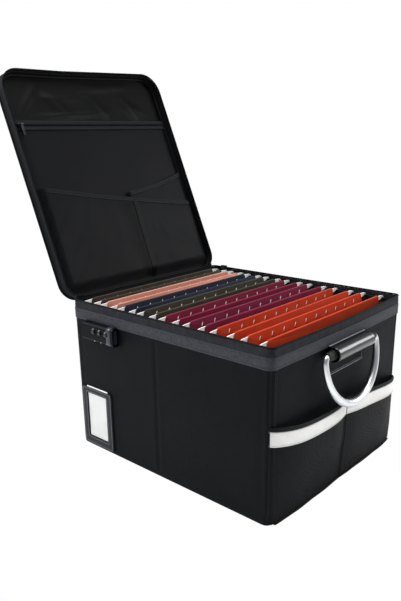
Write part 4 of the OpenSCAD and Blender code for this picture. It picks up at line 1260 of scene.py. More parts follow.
@dataclass
class DialLock:
    """The lock: CAD mouldings with their index marks, and a white dot painted on each dial as the glint on
    its top.
    """

    shop: Workshop
    frame: dict
    face: float = -165.0
    dials: tuple[float, ...] = (-128.0, -114.0, -100.0)
    # Where the painted glints sit on the dials and the marks below them, as (y, z), and the way they face
    dial_glint: tuple[float, float] = (-177.7, 203.7)
    dial_glint_way: tuple[float, float, float] = (0, -0.91, 0.42)
    index_mark: tuple[float, float] = (-175.9, 186.2)
    index_way: tuple[float, float, float] = (0, -0.83, -0.55)
    index_shift: float = 1.5

    def build(self) -> None:
        """Dresses the lock."""
        nodes = self.frame["nodes"]
        finishes = {"housing": LOCK, "button": BUTTON, "dial_shaft": STEEL, "back_plate": STEEL}
        for part, finish in finishes.items():
            self.shop.dress(nodes[f"lock_{part}"], finish)
        for k, x in enumerate(self.dials, 1):
            self.shop.dress(nodes[f"lock_dial_{k}"], DIAL)
            # A white dot near each dial's top: the glint of light there, painted
            dot = self.shop.dots(f"lock_dial_{k}_mark", [(x, *self.dial_glint)], self.dial_glint_way, MARK_AND_GLINT)
            seat(dot, f"dial_{k}", "white_plastic")
        marks = [(x + self.index_shift, *self.index_mark) for x in self.dials]
        seat(self.shop.dots("lock_index_marks", marks, self.index_way, MARK_AND_GLINT), "box", "lock_plastic")
        seat(self._block(), "box", "lock_plastic")

    def _block(self) -> bpy.types.Object:
        """The paler cover that wraps the housing round its button end."""
        deep, half, middle, radius = 11.5, 14.0, 198.0, 5.55
        turns = np.radians(np.arange(0, 91, 15))
        low = [(deep - radius + radius * math.sin(t), -half + radius - radius * math.cos(t)) for t in turns]
        section = np.array([(0.0, -half), *low, *[(out, -z) for out, z in reversed(low)], (0.0, half)])
        rows = []
        for x, grow in ((-99.0, 0.0), (-98.7, 0.35), (-98.2, 0.5), (-91.5, 0.5), (-90.6, 0.3), (-90.0, 0.0)):
            out, z = section[:, 0] + grow, section[:, 1] * (1 + grow / half)
            rows.append(joined(x, self.face - out, middle + z))
        return self.shop.dress(sheet_mesh("lock_end_block", np.swapaxes(np.array(rows), 0, 1)), BUTTON)


@dataclass
class LabelHolder:
    """The sewn vinyl frame with its film and card."""

    shop: Workshop
    frame: dict
    face: float = -165.0
    middle: float = -142.0
    low: float = 6.0
    size: tuple[float, float] = (68.0, 95.0)
    window: tuple[float, float] = (45.0, 74.0)
    window_low: float = 19.0
    # The frame's section, from its outer edge (0) to its window (1), and how far it stands out there
    section: tuple[tuple[float, float], ...] = (
        (0, 0.0), (0, 1.7), (0.04, 2.3), (0.1, 2.55), (0.2, 2.35), (0.5, 2.5), (0.78, 2.35), (0.88, 2.6),
        (0.97, 2.4), (1.0, 1.9), (1.0, 1.1),
    )

    def build(self) -> None:
        """Makes the frame and dresses the film and card."""
        outer = self._loop(self.size, self.low + self.size[1] / 2, 2.5)
        inner = self._loop(self.window, self.window_low + self.window[1] / 2, 0.9)

        def loop(share: float, out: float) -> np.ndarray:
            """A ring between the frame's outer and inner edge, standing out from the wall."""
            flat = outer + (inner - outer) * share
            return joined(flat[:, 0], self.face - out, flat[:, 1])

        rows = np.stack([loop(share, out) for share, out in self.section])
        obj = sheet_mesh("label_holder_frame", rows, closed=True)
        self.shop.fit(obj, VINYL, "box", "holder_vinyl", "label_frame")
        walks = [loop(share, 2.5) for share in (0.15, 0.83)]
        thread = self.shop.stitches(
            "label_holder_stitches", walks, [(0, -1, 0)] * 2, PALE_THREAD, closed=True
        )
        seat(thread, "box", "holder_vinyl")
        rim = self.shop.cord("label_holder_rim", [loop(1.0, 1.5)], 0.9, BINDING, closed=True)
        seat(rim, "box", "holder_vinyl")
        self.shop.dress(self.frame["nodes"]["label_window"], FILM)
        self.shop.dress(self.frame["nodes"]["label_card"], CARD)

    def _loop(self, size: tuple[float, float], height: float, radius: float) -> np.ndarray:
        """A rounded rectangle of evenly spaced (x, z) points, its middle at a height."""
        points, _ = track(size[0], size[1], radius, step=min(size) / 15)
        even = np.linspace(0, 1, 161)[:-1]
        ring = np.concatenate([points, points[:1]])
        far = np.r_[0, np.cumsum(np.linalg.norm(np.diff(ring, axis=0), axis=1))]
        spots = even * far[-1]
        x = np.interp(spots, far, ring[:, 0])
        z = np.interp(spots, far, ring[:, 1])
        return np.stack([self.middle + x, height + z], 1)


@dataclass
class CarryHandle:
    """A D handle in its rolled strap, at the +X end or mirrored to the -X end."""

    shop: Workshop
    end: int
    pivot: tuple[float, float] = (200.0, 202.0)
    leg_y: float = 67.0
    leg: float = 10.0
    bend: float = 7.0
    bar: float = 8.5
    grip: float = 11.5
    lean: float = 8.0
    strap: float = 47.0
    # The roll's middle, from the pivot, and its radius
    roll: tuple[float, float, float] = (1.1, -0.3, 10.1)

    def build(self) -> None:
        """Makes the bar and the strap."""
        name = "handle" if self.end > 0 else "rear_handle"
        middle, down = self._bar_line()
        swell = 1 + (self.grip / self.bar - 1) * down / (self.leg + self.leg_y)
        bar = self.shop.cord(f"{name}_bar", [middle], self.bar / 2, ALUMINIUM, sides=28, swell=swell)
        seat(bar, name, "handle_metal", f"{name}_ring")
        self._strap(name)

    def _bar_line(self) -> tuple[np.ndarray, np.ndarray]:
        """The bar's middle line from pin to pin, and how far each point lies below the pins."""
        local = [(-self.leg_y + self.bar + 2, 0.0)]
        centre = -self.leg_y + self.bend
        local += [(centre - self.bend * math.sin(t), -self.bend + self.bend * math.cos(t))
                  for t in np.radians(np.arange(0, 91, 15))]
        turns = np.radians(np.linspace(180, 360, 61))
        local += [(self.leg_y * math.cos(t), -self.leg + self.leg_y * math.sin(t)) for t in turns]
        local += [(-y, z) for y, z in reversed(local[:8])]
        y, z = np.array(local).T
        lean, (x0, z0) = math.radians(self.lean), self.pivot
        return joined(self.end * (x0 - z * math.sin(lean)), y, z0 + z * math.cos(lean)), -z

    def _strap(self, name: str) -> None:
        """Leatherette rolled over the sleeve: a flap under the band, the roll, and a square-cornered tail."""
        px, pz, r = self.pivot[0] + self.roll[0], self.pivot[1] + self.roll[1], self.roll[2]
        face = self._face
        section = [(face(212.5) + 1.5, 212.5), (face(212.0) + 2.0, 212.0), (face(211.4) + 3.6, 211.6)]
        section += [(px + r * math.cos(t), pz + r * math.sin(t)) for t in np.radians(np.arange(90, -91, -10))]
        section += [(face(193.6) + 4.6, 193.4), (face(192.4) + 2.9, 192.4), (face(191.0) + 2.1, 190.8)]
        section += [(face(z) + 1.9, z) for z in np.linspace(189.0, 170.6, 8)]
        across = np.linspace(-self.strap, self.strap, 48)
        grid = np.array([joined(x, across, z) for x, z in section])
        # The tail ripples a little where it is sewn down
        grid[..., 0] += 0.12 * np.sin(grid[..., 1] / 6.0) * (grid[..., 2] < 191)
        grid[..., 0] *= self.end
        parts = {"roll": (grid[3:24], LEATHER), "tail": (grid[23:], SHELL), "flap": (grid[:4], SHELL)}
        for part, (rows, finish) in parts.items():
            obj = thicken(sheet_mesh(f"{name}_strap_{part}", rows, flip=self.end > 0), 1.6)
            # One piece stands for the CAD node that holds both ends' straps
            nodes = ("handle_straps",) if self.end > 0 and part == "roll" else ()
            self.shop.fit(obj, finish, "box", "strap_webbing", *nodes)
        low = grid[-1]
        out = np.array([0.2 * self.end, 0, 0])
        inset = low * [1, 0.94, 1] + out + [0, 0, 2.6]
        sides = [[(self.end * (face(z) + 2.0), way * (self.strap - 2.8), z) for z in np.arange(173, 190, 3)]
                 for way in (-1, 1)]
        top = grid[1] * [1, 0.97, 1] + 4 * out + [0, 0, 0.2]
        walks = [inset, *sides, top]
        stitched = self.shop.stitches(
            f"{name}_strap_stitches", walks, [(self.end, 0, 0.3)] * len(walks), PALE_THREAD, pitch=3.0
        )
        seat(stitched, "box", "strap_webbing")
        edges = self.shop.cord(f"{name}_strap_edge", [low + out, grid[0] + 2 * out], 0.5, PALE_EDGE)
        seat(edges, "box", "strap_webbing")

    def _face(self, z: float) -> float:
        """Distance of the end wall's face from the middle of the box at a height, at the strap."""
        size = BoxSize()
        return abs(float(size.soft(np.array([self.end * size.end, 0.0, z]))[0]))


@dataclass
class EndPocket:
    """The outside mesh pocket in two bulging halves, with its pale band and binding."""

    shop: Workshop
    size: BoxSize = BoxSize()
    bulge: float = 12.0
    half: float = 79.5
    centre: float = 80.7
    reach: float = 163.4
    foot: float = 2.5
    band: float = 21.0
    notch: float = 0.38
    # How far the upper edge lies below the rim at the near corner, in the middle and at the far corner
    drops: tuple[float, float, float] = (106.5, 117.5, 136.5)
    sag: float = 2.7
    hole: float = 0.66
    # The binding's section, from the upper edge, as (up, out)
    rolled: tuple[tuple[float, float], ...] = (
        (-0.8, 1.4), (0.4, 1.8), (2.4, 2.0), (4.0, 1.6), (4.8, 0.7), (4.3, -0.2), (2.4, -0.5), (-0.8, -0.5),
    )

    def top(self, y: np.ndarray) -> np.ndarray:
        """Height of the pocket's upper edge at y."""
        u = np.abs(y) / self.size.side
        corner = np.where(y < 0, self.drops[0], self.drops[2])
        rise = (self.drops[1] - corner) * u * u
        return self.size.height - self.drops[1] + rise - self.sag * 4 * u * (1 - u)

    def face(self, y: np.ndarray, z: np.ndarray) -> np.ndarray:
        """X of the pocket's cloth: fullest at its mouth, drawn in at its foot, middle seam and sides."""
        s = self.size
        off = np.clip(np.abs(y) - self.centre, 0, self.half) / self.half
        full = self.bulge * (1 - off**3)
        full = full * (1 - self.notch * np.exp(-((np.abs(y) / 20) ** 1.5)))
        share = (z - self.foot) / (self.top(y) - self.foot)
        fill = 0.3 + 0.7 * ease(share, -0.05, 0.7)
        crumple = 0.25 * np.sin(y / 9.0 + 2 * np.sin(z / 19.0)) * (1 - ease(share, 0.0, 0.5))
        radius = s.rounding(z)
        turn = np.clip(np.abs(y) - s.side + radius, 0, radius)
        flat = s.end - radius + np.sqrt(radius**2 - turn**2)
        wall_x = s.soft(np.stack([flat, y, z], -1))[..., 0]
        return wall_x + 0.5 + full * fill + np.minimum(full, 1.0) * crumple

    def build(self) -> None:
        """Makes the pocket."""
        y = np.linspace(-self.reach, self.reach, 161)
        top = self.top(y)
        width = y[-1] - y[0]
        height = float(top.mean()) - self.foot

        def surface(s: np.ndarray, t: np.ndarray) -> np.ndarray:
            """The net's place from its own flat place."""
            yy = y[0] + s
            high = self.top(yy) - self.band + 4
            zz = self.foot + t / height * (high - self.foot)
            return np.stack([self.face(yy, zz), yy, zz], -1)

        net = self.shop.net("end_pocket_net", surface, width, height, 2.6, self.hole, lambda s, t: s >= 0)
        seat(net, "box", "pocket_mesh", "end_pocket")
        cloth(net, width * 1.01, height - self.band + 4, "shell_cloth", "gathered", self.hole)
        shares = [(0.0, 0.7), (0.02, 1.1), (0.5, 1.2), (0.98, 1.1), (1.0, 0.4)]
        rows = [self._row(y, top - self.band * (1 - a), out) for a, out in shares]
        band = thicken(sheet_mesh("end_pocket_pale_band", np.stack(rows)), 0.7)
        self.shop.fit(band, PALE, "box", "pale_tape", "end_pocket_band")
        cloth(band, width * 1.012, self.band + 1, "end_pocket_net")
        rows = [self._row(y, top + up, out) for up, out in self.rolled]
        trim = sheet_mesh("end_pocket_rolled_binding", np.stack(rows))
        self.shop.fit(trim, BINDING, "box", "binding", "end_pocket_binding")
        self._trims(y, top)
        self._floor(y[4:-4])

    def _row(self, y: np.ndarray, z: np.ndarray, out: float) -> np.ndarray:
        """A line over the pocket's cloth, standing out from it."""
        return joined(self.face(y, z) + out, y, z)

    def _trims(self, y: np.ndarray, top: np.ndarray) -> None:
        """Stitches along the band, and the pocket's side and middle seams."""
        walks = [self._row(y, top - up, 1.32) for up in (1.6, self.band - 1.8)]
        up = [(1, 0, 0)] * 2
        seat(self.shop.stitches("pale_band_stitches", walks, up, PALE_THREAD, pitch=3.0), "box", "pale_tape")
        seams = []
        for spot, out in ((y[0] + 0.4, 0.5), (0.0, 1.2), (y[-1] - 0.4, 0.5)):
            high = float(self.top(np.array(spot)))
            z = np.arange(self.foot + 1, high + 2, 5)
            seams.append(self._row(np.full(len(z), spot), z, out))
        seat(self.shop.cord("end_pocket_seams", seams, 0.7, BINDING), "box", "binding")

    def _floor(self, y: np.ndarray) -> None:
        """The binding along the pocket's foot, its ends tucked in, and the cloth that closes it below."""
        foot = self._row(y, np.full(len(y), self.foot), 0.0)
        foot[[0, -1], 0] -= 3.5
        foot[[0, -1], 1] *= 0.985
        seat(self.shop.cord("end_pocket_foot", [foot], 1.3, BINDING), "box", "binding")
        under = foot + [0, 0, -0.7]
        edge = under.copy()
        edge[:, 0] = np.minimum(under[:, 0] - 3, self.size.end - 4)
        floor = thicken(sheet_mesh("end_pocket_floor", np.stack([edge, 0.5 * (edge + under), under])), 0.5)
        self.shop.fit(floor, NYLON, "box", "binding")
        cloth(floor, y[-1] - y[0], max(float(np.mean(under[:, 0] - edge[:, 0])), 10.0), "shell_cloth")


@dataclass(frozen=True)
class Fold:
    """A soft fold in a sheet: a ridge between two flat points."""

    start: tuple[float, float]
    end: tuple[float, float]
    wide: float
    rise: float

    def height(self, flat: np.ndarray) -> np.ndarray:
        """The ridge's height at flat points."""
        a, b = np.array(self.start), np.array(self.end)
        way = b - a
        t = ((flat - a) @ way) / (way @ way)
        near = a + np.clip(t, 0, 1)[..., None] * way
        gap = np.linalg.norm(flat - near, axis=-1)
        taper = np.sin(np.clip(t, 0.02, 0.98) * math.pi)
        return self.rise * taper * np.exp(-((gap / self.wide) ** 2))


@dataclass
class Lid:
    """The zip-round lid: tray, piping, lining, zips and pockets."""

    shop: Workshop
    frame: dict
    length: float = 381.0
    width: float = 340.0
    corner: float = 27.0
    deep: float = 23.0
    tape_high: float = 9.6
    panel: float = 18.0
    mesh: float = 13.2
    rear: float = 8.4
    front: float = 3.6
    zip_at: float = 288.0
    zip_half: float = 8.0
    opened: float = 113.0
    hinge: tuple[float, float] = (-186.0, 240.0)
    free_corner: float = 35.0
    # The free edge's slope across the lid, and how far down and up it may stand
    skew: float = 0.03
    skew_ends: tuple[float, float] = (-1.5, 5.0)
    inset: float = 4.5
    seam: float = 16.4
    divider: float = 22.0

    def place(self, points: np.ndarray) -> np.ndarray:
        """Turns points on the shut lid into the row frame, on the open lid."""
        points = np.asarray(points, float)
        c, s = math.cos(math.radians(self.opened)), math.sin(math.radians(self.opened))
        u, y, w = points[..., 0], points[..., 1], points[..., 2]
        u, y = self._sagged(u, y)
        return np.stack([self.hinge[0] + c * u - s * w, y, self.hinge[1] + s * u + c * w], -1)

    def _sagged(self, u: np.ndarray, y: np.ndarray) -> tuple[np.ndarray, np.ndarray]:
        """The open lid's soft free edge: its corners curve more widely, and it stands a little askew."""
        big, half = self.free_corner, self.width / 2
        a = np.clip((u - self.length + big) / big, 0, None)
        b = np.clip((np.abs(y) - half + big) / big, 0, None)
        away, most, least = np.hypot(a, b), np.maximum(a, b), np.minimum(a, b)
        safe = np.maximum(most, 1e-6)
        centre, lean = 1 - self.corner / big, (a + b) / np.maximum(away, 1e-6)
        arc = centre * lean + np.sqrt(np.maximum((centre * lean) ** 2 - 2 * centre**2 + (1 - centre) ** 2, 0))
        edge = np.where(least / safe <= centre, away / safe, arc)
        share = np.where(least > 0, 1 - (1 - 1 / np.maximum(edge, 1)) * np.clip(away / edge, 0, 1.1) ** 2, 1)
        bent = np.where(a > 0, self.length + big * (a * share - 1), u)
        spread = np.where(b > 0, np.sign(y) * (half + big * (b * share - 1)), y)
        return bent + ease(u, 300, 372) * np.clip(self.skew * y, *self.skew_ends), spread

    def turn(self, ways: np.ndarray) -> np.ndarray:
        """Turns directions in the same way."""
        return self.place(ways) - self.place(np.zeros(3))

    def build(self) -> None:
        """Makes the lid."""
        self._tray()
        self._zip_round()
        self._lining()
        self._mesh_panel()
        self._pocket_zip()
        self._slip_pockets()
        board = self._disc("lid_board_sheet", 3.0, np.linspace(0.05, 1, 20), lambda flat: 21.4)
        self.shop.fit(thicken(board, 2.4), BOARD, "lid", "board", "lid_board")

    def _walk(self, cut: float | None = None) -> tuple[np.ndarray, np.ndarray]:
        """Points and outward normals round the lid's edge."""
        points, normals = track(self.length, self.width, self.corner, cut=cut)
        return points + [self.length / 2, 0], normals

    def _disc(self, name: str, inset: float, shares: np.ndarray, rule: Callable, flip: bool = False):
        """Fills the lid's outline less an inset, its w given by a rule on flat points."""
        ring, _ = track(self.length - 2 * inset, self.width - 2 * inset, self.corner - inset)
        return disc_mesh(name, ring + [self.length / 2, 0], np.r_[0.01, shares],
                         lambda flat: np.broadcast_to(rule(flat), flat.shape[:-1]), self.place, flip)

    def _tray(self) -> None:
        """The lid's outer cloth: its gusset, its top and the piping between them."""
        points, normals = self._walk()
        rows = [(-1.0, self.tape_high), (0, self.tape_high + 0.2)]
        rows += [(0, w) for w in np.linspace(self.tape_high + 1.5, 20, 6)] + [(-0.8, 21.4), (-2.4, 22.4)]
        grid = self.place(wall(points, normals, rows))
        obj = sheet_mesh("lid_gusset", grid, closed=True)
        slack = np.zeros(grid.shape[:2])
        slack[2:-2] = 1
        obj = self.shop.ripple(obj, slack, 0.5, 26, SHELL)
        seat(obj, "lid", "shell_cloth", "lid_shell")
        cloth(obj, 2 * (self.length + self.width - 23), 15.5, "lid_board")
        top = self._disc("lid_top_cloth", 2.0, np.linspace(0.05, 1, 40), lambda flat: self.deep - 0.5)
        # Each copy of the outline takes its slack: none where the cloth is sewn in
        slack = np.r_[np.ones(38), 0.5, 0.2, 0.0]
        slack = np.repeat(slack, len(top.data.vertices) // len(slack))
        top = self.shop.ripple(top, slack, 0.9, 60, SHELL)
        seat(top, "lid", "shell_cloth")
        cloth(top, self.length - 4, self.width - 4, "lid_board")
        walk = self.place(wall(points, normals, [(0.1, 20.4)]))
        piping = self.shop.cord("lid_piping_cord", walk, 1.85, BINDING, closed=True)
        seat(piping, "lid", "piping", "lid_piping")

    def _zip_round(self) -> None:
        """The lid's half of the zip: its tape and its coil."""
        points, normals = self._walk(cut=0)
        low, high = 4.2, self.tape_high
        rows = [(-0.2, low), (0.05, low + 1), (0.0, high), (-1.0, high), (-1.0, low + 1), (-0.8, low)]
        obj = sheet_mesh("lid_zip_tape_cloth", self.place(wall(points, normals, rows)))
        self.shop.fit(obj, TAPE, "lid", "zip_cloth", "lid_zip_tape")
        middle = self.place(wall(points, normals, [(-0.5, 2.9)])[0])
        coil = self.shop.coil("lid_zip_coil", middle, self.turn(np.array(UP)))
        seat(coil, "lid", "zip_coil", "lid_zip_teeth")
        seat(self.shop.cord("lid_zip_coil_core", [middle], 0.75, COIL), "lid", "zip_coil")

    FOLDS = (
        Fold((300, -150), (372, -90), 7, -1.3),
        Fold((303, -40), (352, -100), 11, -2.4),
        Fold((303, 40), (346, -10), 10, -2.6),
        Fold((303, 110), (340, 70), 10, -2.6),
        Fold((302, -140), (312, 30), 5, -1.8),
        Fold((352, -60), (362, 110), 6, -1.2),
        Fold((336, -120), (340, 10), 7, -1.0),
        Fold((310, 130), (345, 60), 6, -1.0),
    )

    def _lining(self) -> None:
        """The cloth inside the lid, with its folds above the pocket, and the bindings round it."""
        points, normals = self._walk()
        high = self.tape_high
        rows = [(-1.1, high + 0.1), (-2.2, high + 0.6), (-2.4, 13.0), (-2.6, 15.6), (-4.0, 17.6)]
        grid = self.place(wall(points, normals, rows))
        obj = sheet_mesh("lid_gusset_lining", grid, closed=True, flip=True)
        # The gusset's lining is painted greyer as sheen
        self.shop.fit(obj, GUSSET, "lid", "lining_cloth", "lid_lining")
        cloth(obj, 2 * (self.length + self.width - 30), 10.8, "lid_gusset")

        def folded(flat: np.ndarray) -> np.ndarray:
            """The lining's w, with the folds pressed into it."""
            return self.panel - 0.3 + sum(fold.height(flat) for fold in self.FOLDS)

        panel = self._disc("lid_lining_panel", 3.5, np.linspace(0.03, 1, 90), folded, flip=True)
        self.shop.fit(panel, NYLON, "lid", "lining_cloth")
        cloth(panel, self.length - 7, self.width - 7, "lid_board")
        for name, spot, radius in (("inner", (-4.6, 16.4), 1.7), ("rim", (-1.9, high + 0.1), 0.9)):
            walk = self.place(wall(points, normals, [spot]))
            cord = self.shop.cord(f"lid_{name}_binding", walk, radius, BINDING, closed=True)
            seat(cord, "lid", "binding")

    def _inside(self, u: np.ndarray, y: np.ndarray) -> np.ndarray:
        """Whether flat points lie inside the lid's rounded outline less the pockets' inset."""
        r = self.corner - self.inset
        du = np.abs(u - self.length / 2) - (self.length / 2 - self.inset - r)
        dy = np.abs(y) - (self.width / 2 - self.inset - r)
        return np.hypot(np.maximum(du, 0), np.maximum(dy, 0)) <= r

    def _drawn(self, u: np.ndarray, y: np.ndarray, front: float, back: float, mouth) -> np.ndarray:
        """W of a pocket's sheet: it stands at front in its middle and is drawn to back at its seams."""
        side = np.minimum(ease(self.width / 2 - 3 - np.abs(y), 0, 16), ease(u - 4, 0, 22))
        sag = 0.7 * np.sin(y / 23.0) * np.sin(u / 31.0)
        return back + (front - back) * side * (0.75 + 0.25 * ease(u / mouth, 0.2, 0.9)) + sag * side

    def _mesh_panel(self) -> None:
        """The net of the big zipped pocket, from the hinge up to its zip."""
        width, length = self.width - 2 * self.inset, self.zip_at - self.zip_half - self.inset
        hole, past_lid = 0.72, 400.0

        def surface(s: np.ndarray, t: np.ndarray) -> np.ndarray:
            """The net's place from its own flat place."""
            y, u = s - width / 2, self.inset + t
            return self.place(joined(u, y, self._drawn(u, y, self.mesh, self.seam, past_lid)))

        net = self.shop.net("lid_mesh_net", surface, width, length, 3.6, hole,
                            lambda s, t: self._inside(t + self.inset, s - width / 2))
        seat(net, "lid", "pocket_mesh", "lid_mesh_panel")
        cloth(net, width, length, "lid_lining_panel", hole=hole)

    def _ribbon(self, name: str, centre: np.ndarray, half_u: float, thick: float) -> bpy.types.Object:
        """A flat folded ribbon across the lid, along (u, y, w) points, rounded at its edges."""
        section = [(-half_u, 0.0), (-half_u + 0.4, -thick / 2), (0, -0.6 * thick), (half_u - 0.4, -thick / 2),
                   (half_u, 0.0), (half_u - 0.4, thick / 2), (-half_u + 0.4, thick / 2), (-half_u, 0.0)]
        rows = [centre + [du, 0, dw] for du, dw in section]
        return made_solid(sheet_mesh(name, self.place(np.stack(rows))))

    def _pocket_zip(self) -> None:
        """The pocket's zip: tapes, coil, slider and pull, and the facing that joins it to the lining."""
        self.shop.dress(self.frame["nodes"]["lid_pocket_slider"], DARK_METAL)
        self.shop.dress(self.frame["nodes"]["lid_pocket_pull"], DARK_METAL)
        y = np.linspace(-self.width / 2 + 3, self.width / 2 - 3, 90)
        quarter = self.zip_half / 2
        shift = ease(self.width / 2 - 3 - np.abs(y), 0, 12)
        w = self.seam + (self.mesh - self.seam) * shift
        for name, side, nodes in (("lower", -1, ("lid_pocket_zip",)), ("upper", 1, ())):
            centre = joined(self.zip_at + side * (quarter + 0.3), y, w)
            obj = self._ribbon(f"pocket_zip_tape_{name}", centre, quarter, 0.7)
            self.shop.fit(obj, TAPE, "lid", "zip_cloth", *nodes)
        coil = self.place(joined(self.zip_at, y, w - 0.7))
        down = self.turn(np.array([0.0, 0.0, -1.0]))
        seat(self.shop.coil("pocket_zip_coil", coil, down), "lid", "zip_coil")
        seat(self.shop.cord("pocket_zip_coil_core", [coil], 0.7, COIL), "lid", "zip_coil")
        edge = self.zip_at + self.zip_half
        rows = [(edge - 0.5, self.mesh - 0.5), (edge + 0.4, self.mesh + 0.4), (edge + 0.6, 15.5),
                (edge + 1.4, 17.4), (edge + 5.0, 17.7)]
        grid = np.stack([joined(u, y, np.maximum(w - self.mesh + h, h)) for u, h in rows])
        obj = sheet_mesh("pocket_zip_facing", self.place(grid), flip=True)
        self.shop.fit(obj, NYLON, "lid", "lining_cloth")
        cloth(obj, self.width - 6, 10.4, "lid_lining_panel")
        walks = [self.place(joined(u, y, w - 0.5)) for u in (edge - 1.6, edge - 14.2)]
        seat(self.shop.stitches("pocket_zip_stitches", walks, [down] * 2), "lid", "zip_cloth")

    def _slip_pockets(self) -> None:
        """The two open pockets on the big one: the rear over half the lid, the front over all of it."""
        side = self.width / 2 - self.inset
        self._slip_pocket("rear", (self.rear, 15.6), (20.0, side), (162.0, 192.0))
        mouth = self._slip_pocket("front", (self.front, 14.6), (-side, side), (182.0, 130.0))
        self._divider(self.front, 14.6, mouth)

    def _slip_pocket(self, name: str, levels: tuple[float, float], span: tuple[float, float],
                     mouths: tuple[float, float]) -> Callable:
        """Makes a slip pocket with its hem and stitches.

        Args:
            name: Which pocket it is.
            levels: Its w in its middle and at its seams.
            span: Where it starts and ends across the lid.
            mouths: How far from the hinge its mouth lies at those two places. It sags between them.

        Returns:
            The rule that gives its mouth's distance from the hinge at y.
        """
        y0, width, hole, dip = span[0], span[1] - span[0], 0.7, 4

        def mouth(y: np.ndarray) -> np.ndarray:
            """The mouth's distance from the hinge."""
            share = (y - y0) / width
            return mouths[0] + (mouths[1] - mouths[0]) * share - dip * 4 * share * (1 - share)

        tall = float(np.mean(mouth(np.linspace(*span, 50)))) - self.inset

        def spread(s: np.ndarray, t: np.ndarray) -> tuple[np.ndarray, np.ndarray]:
            """(u, y) of the net's own flat place."""
            return self.inset + t / tall * (mouth(y0 + s) - self.inset), y0 + s

        def surface(s: np.ndarray, t: np.ndarray) -> np.ndarray:
            """The net's place from its own flat place."""
            u, y = spread(s, t)
            return self.place(joined(u, y, self._drawn(u, y, *levels, mouth(y))))

        net = self.shop.net(f"lid_{name}_pocket_net", surface, width, tall, 3.4, hole,
                            lambda s, t: self._inside(*spread(s, t)))
        seat(net, "lid", "pocket_mesh", f"lid_{name}_pocket")
        cloth(net, width, tall, "lid_mesh_net", "hung", hole)
        y = np.linspace(*span, 70)
        high = mouth(y)
        centre = joined(high - 3.2, y, self._drawn(high, y, *levels, high))
        hem = self._ribbon(f"lid_{name}_pocket_hem", centre, 4.0, 1.3)
        self.shop.fit(hem, HEM, "lid", "lining_cloth")
        walks = [self.place(centre + [du, 0, -0.85]) for du in (-2.4, 2.2)]
        ways = [self.turn(np.array([0.0, 0.0, -1.0]))] * 2
        seat(self.shop.stitches(f"lid_{name}_pocket_stitches", walks, ways), "lid", "lining_cloth")
        return mouth

    def _divider(self, level: float, back: float, mouth: Callable) -> None:
        """The seam that parts the front pocket in two."""
        high = float(mouth(self.divider))
        u = np.linspace(7, high - 1, 40)
        w = self._drawn(u, np.full(len(u), self.divider), level, back, high) - 0.4
        section = [(-5.2, 0.5), (-5.0, -0.3), (0, -0.6), (5.0, -0.3), (5.2, 0.5)]
        grid = np.stack([joined(u, self.divider + dy, w + dw) for dy, dw in section])
        obj = sheet_mesh("lid_front_pocket_divider", self.place(grid))
        self.shop.fit(obj, NYLON, "lid", "lining_cloth")


# The CAD nodes that only need their finish
PLAIN = {"base_panel": PANEL, "handle_sleeves": RUBBER, "zip_slider": DARK_METAL, "zip_pull": DARK_METAL}


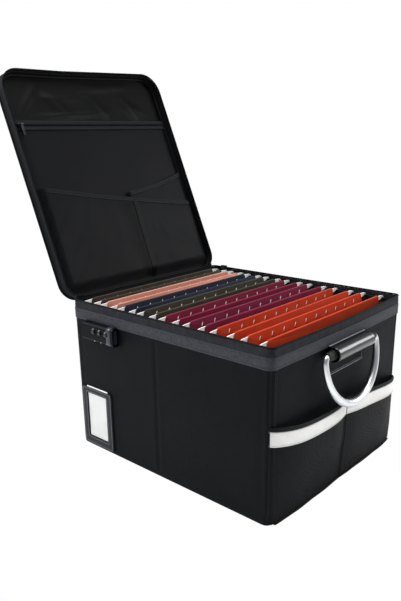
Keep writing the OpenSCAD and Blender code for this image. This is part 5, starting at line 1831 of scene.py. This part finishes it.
@dataclass
class Studio:
    """Camera, floor and light."""

    place: tuple[float, float, float] = (0.5987, -0.7330, 0.47895)
    right: tuple[float, float, float] = (0.7404, 0.6720, -0.0185)
    up: tuple[float, float, float] = (-0.1554, 0.1979, 0.9678)
    back: tuple[float, float, float] = (0.6540, -0.7137, 0.2510)
    lens: float = 38.08
    sensor: float = 36.0

    def build(self) -> None:
        """Sets up the studio."""
        self._camera()
        self._floor()
        self._world()
        self._lamp("key", (-1.5, -1.4, 1.6), (0.0, 0.0, 0.15), 1.4, 56)
        self._lamp("end", (1.35, 1.7, 1.15), (0.1, 0.0, 0.15), 1.1, 30)
        self._lamp("top", (0.1, 0.2, 2.3), (0.0, 0.0, 0.0), 1.6, 50)

    def _camera(self) -> None:
        """The camera, solved from the photo's corners."""
        data = bpy.data.cameras.new("camera")
        data.lens = self.lens
        data.sensor_width = self.sensor
        data.sensor_fit = "AUTO"
        data.clip_start = 0.01
        camera = bpy.data.objects.new("camera", data)
        bpy.context.scene.collection.objects.link(camera)
        axes = Matrix((self.right, self.up, self.back)).transposed().to_4x4()
        camera.matrix_world = Matrix.Translation(self.place) @ axes
        bpy.context.scene.camera = camera

    def _floor(self) -> None:
        """Pale paper that turns to the photo's white away from the box."""
        spots = np.linspace(-3000.0, 3000.0, 9)
        grid = np.array([joined(spots, y, -0.2) for y in spots])
        floor = sheet_mesh("floor", grid)
        material = bpy.data.materials.new("pale_paper_floor")
        material.use_nodes = True
        tree = material.node_tree
        tree.nodes.clear()
        place = add(tree, "ShaderNodeTexCoord").outputs["Object"]
        camera = add(tree, "ShaderNodeLightPath").outputs["Is Camera Ray"]
        far = add(tree, "ShaderNodeVectorMath", {0: place}, operation="LENGTH").outputs["Value"]
        share = add(tree, "ShaderNodeMapRange", {"Value": far, "From Min": 0.4, "From Max": 1.1},
                    interpolation_type="SMOOTHSTEP").outputs["Result"]
        looks = {"Base Color": (0.92, 0.92, 0.92, 1), "Roughness": 0.9}
        paper = add(tree, "ShaderNodeBsdfPrincipled", looks).outputs[0]
        lit = add(tree, "ShaderNodeEmission", {"Color": (1, 1, 1, 1), "Strength": 1.0}).outputs[0]
        seen = add(tree, "ShaderNodeMath", {0: camera, 1: share}, operation="MAXIMUM").outputs[0]
        mixed = add(tree, "ShaderNodeMixShader", {0: seen, 1: paper, 2: lit}).outputs[0]
        add(tree, "ShaderNodeOutputMaterial", {"Surface": mixed})
        floor.data.materials.append(material)

    def _world(self) -> None:
        """White where the camera, a mirror or a clear film sees it, softer as light."""
        world = bpy.data.worlds.new("studio")
        world.use_nodes = True
        bpy.context.scene.world = world
        tree = world.node_tree
        tree.nodes.clear()
        path = add(tree, "ShaderNodeLightPath").outputs
        seen = add(tree, "ShaderNodeMath", {0: path["Is Camera Ray"], 1: path["Is Transmission Ray"]},
                   operation="MAXIMUM").outputs[0]
        soft = add(tree, "ShaderNodeBackground", {"Color": (0.93, 0.96, 1.0, 1), "Strength": 0.3}).outputs[0]
        white = add(tree, "ShaderNodeBackground", {"Color": (1, 1, 1, 1), "Strength": 1.0}).outputs[0]
        mixed = add(tree, "ShaderNodeMixShader", {0: seen, 1: soft, 2: white}).outputs[0]
        add(tree, "ShaderNodeOutputWorld", {"Surface": mixed})

    def _lamp(
        self, name: str, place: Sequence[float], aim: Sequence[float], size: float, power: float
    ) -> None:
        """A square area lamp at a place in metres, aimed at a point."""
        data = bpy.data.lights.new(name, "AREA")
        data.size = size
        data.energy = power
        lamp = bpy.data.objects.new(name, data)
        bpy.context.scene.collection.objects.link(lamp)
        way = Vector(place) - Vector(aim)
        lamp.matrix_world = Matrix.Translation(place) @ way.to_track_quat("Z", "Y").to_matrix().to_4x4()


def main() -> None:
    """Builds the whole scene."""
    logging.basicConfig(level=logging.INFO, format="%(name)s: %(message)s")
    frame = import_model()
    bpy.context.scene.view_settings.view_transform = "Standard"
    painter = Painter()
    shop = Workshop(painter)
    lid = Lid(shop, frame)
    Casing(shop).build()
    lid.build()
    Hinge(shop).build(lid)
    HangingGear(shop, frame).build()
    DialLock(shop, frame).build()
    LabelHolder(shop, frame).build()
    for end in (1, -1):
        CarryHandle(shop, end).build()
    EndPocket(shop).build()
    for node, finish in PLAIN.items():
        painter.dress(frame["nodes"][node], finish)
    shop.remove_patterns()
    Studio().build()


if __name__ == "__main__":
    main()
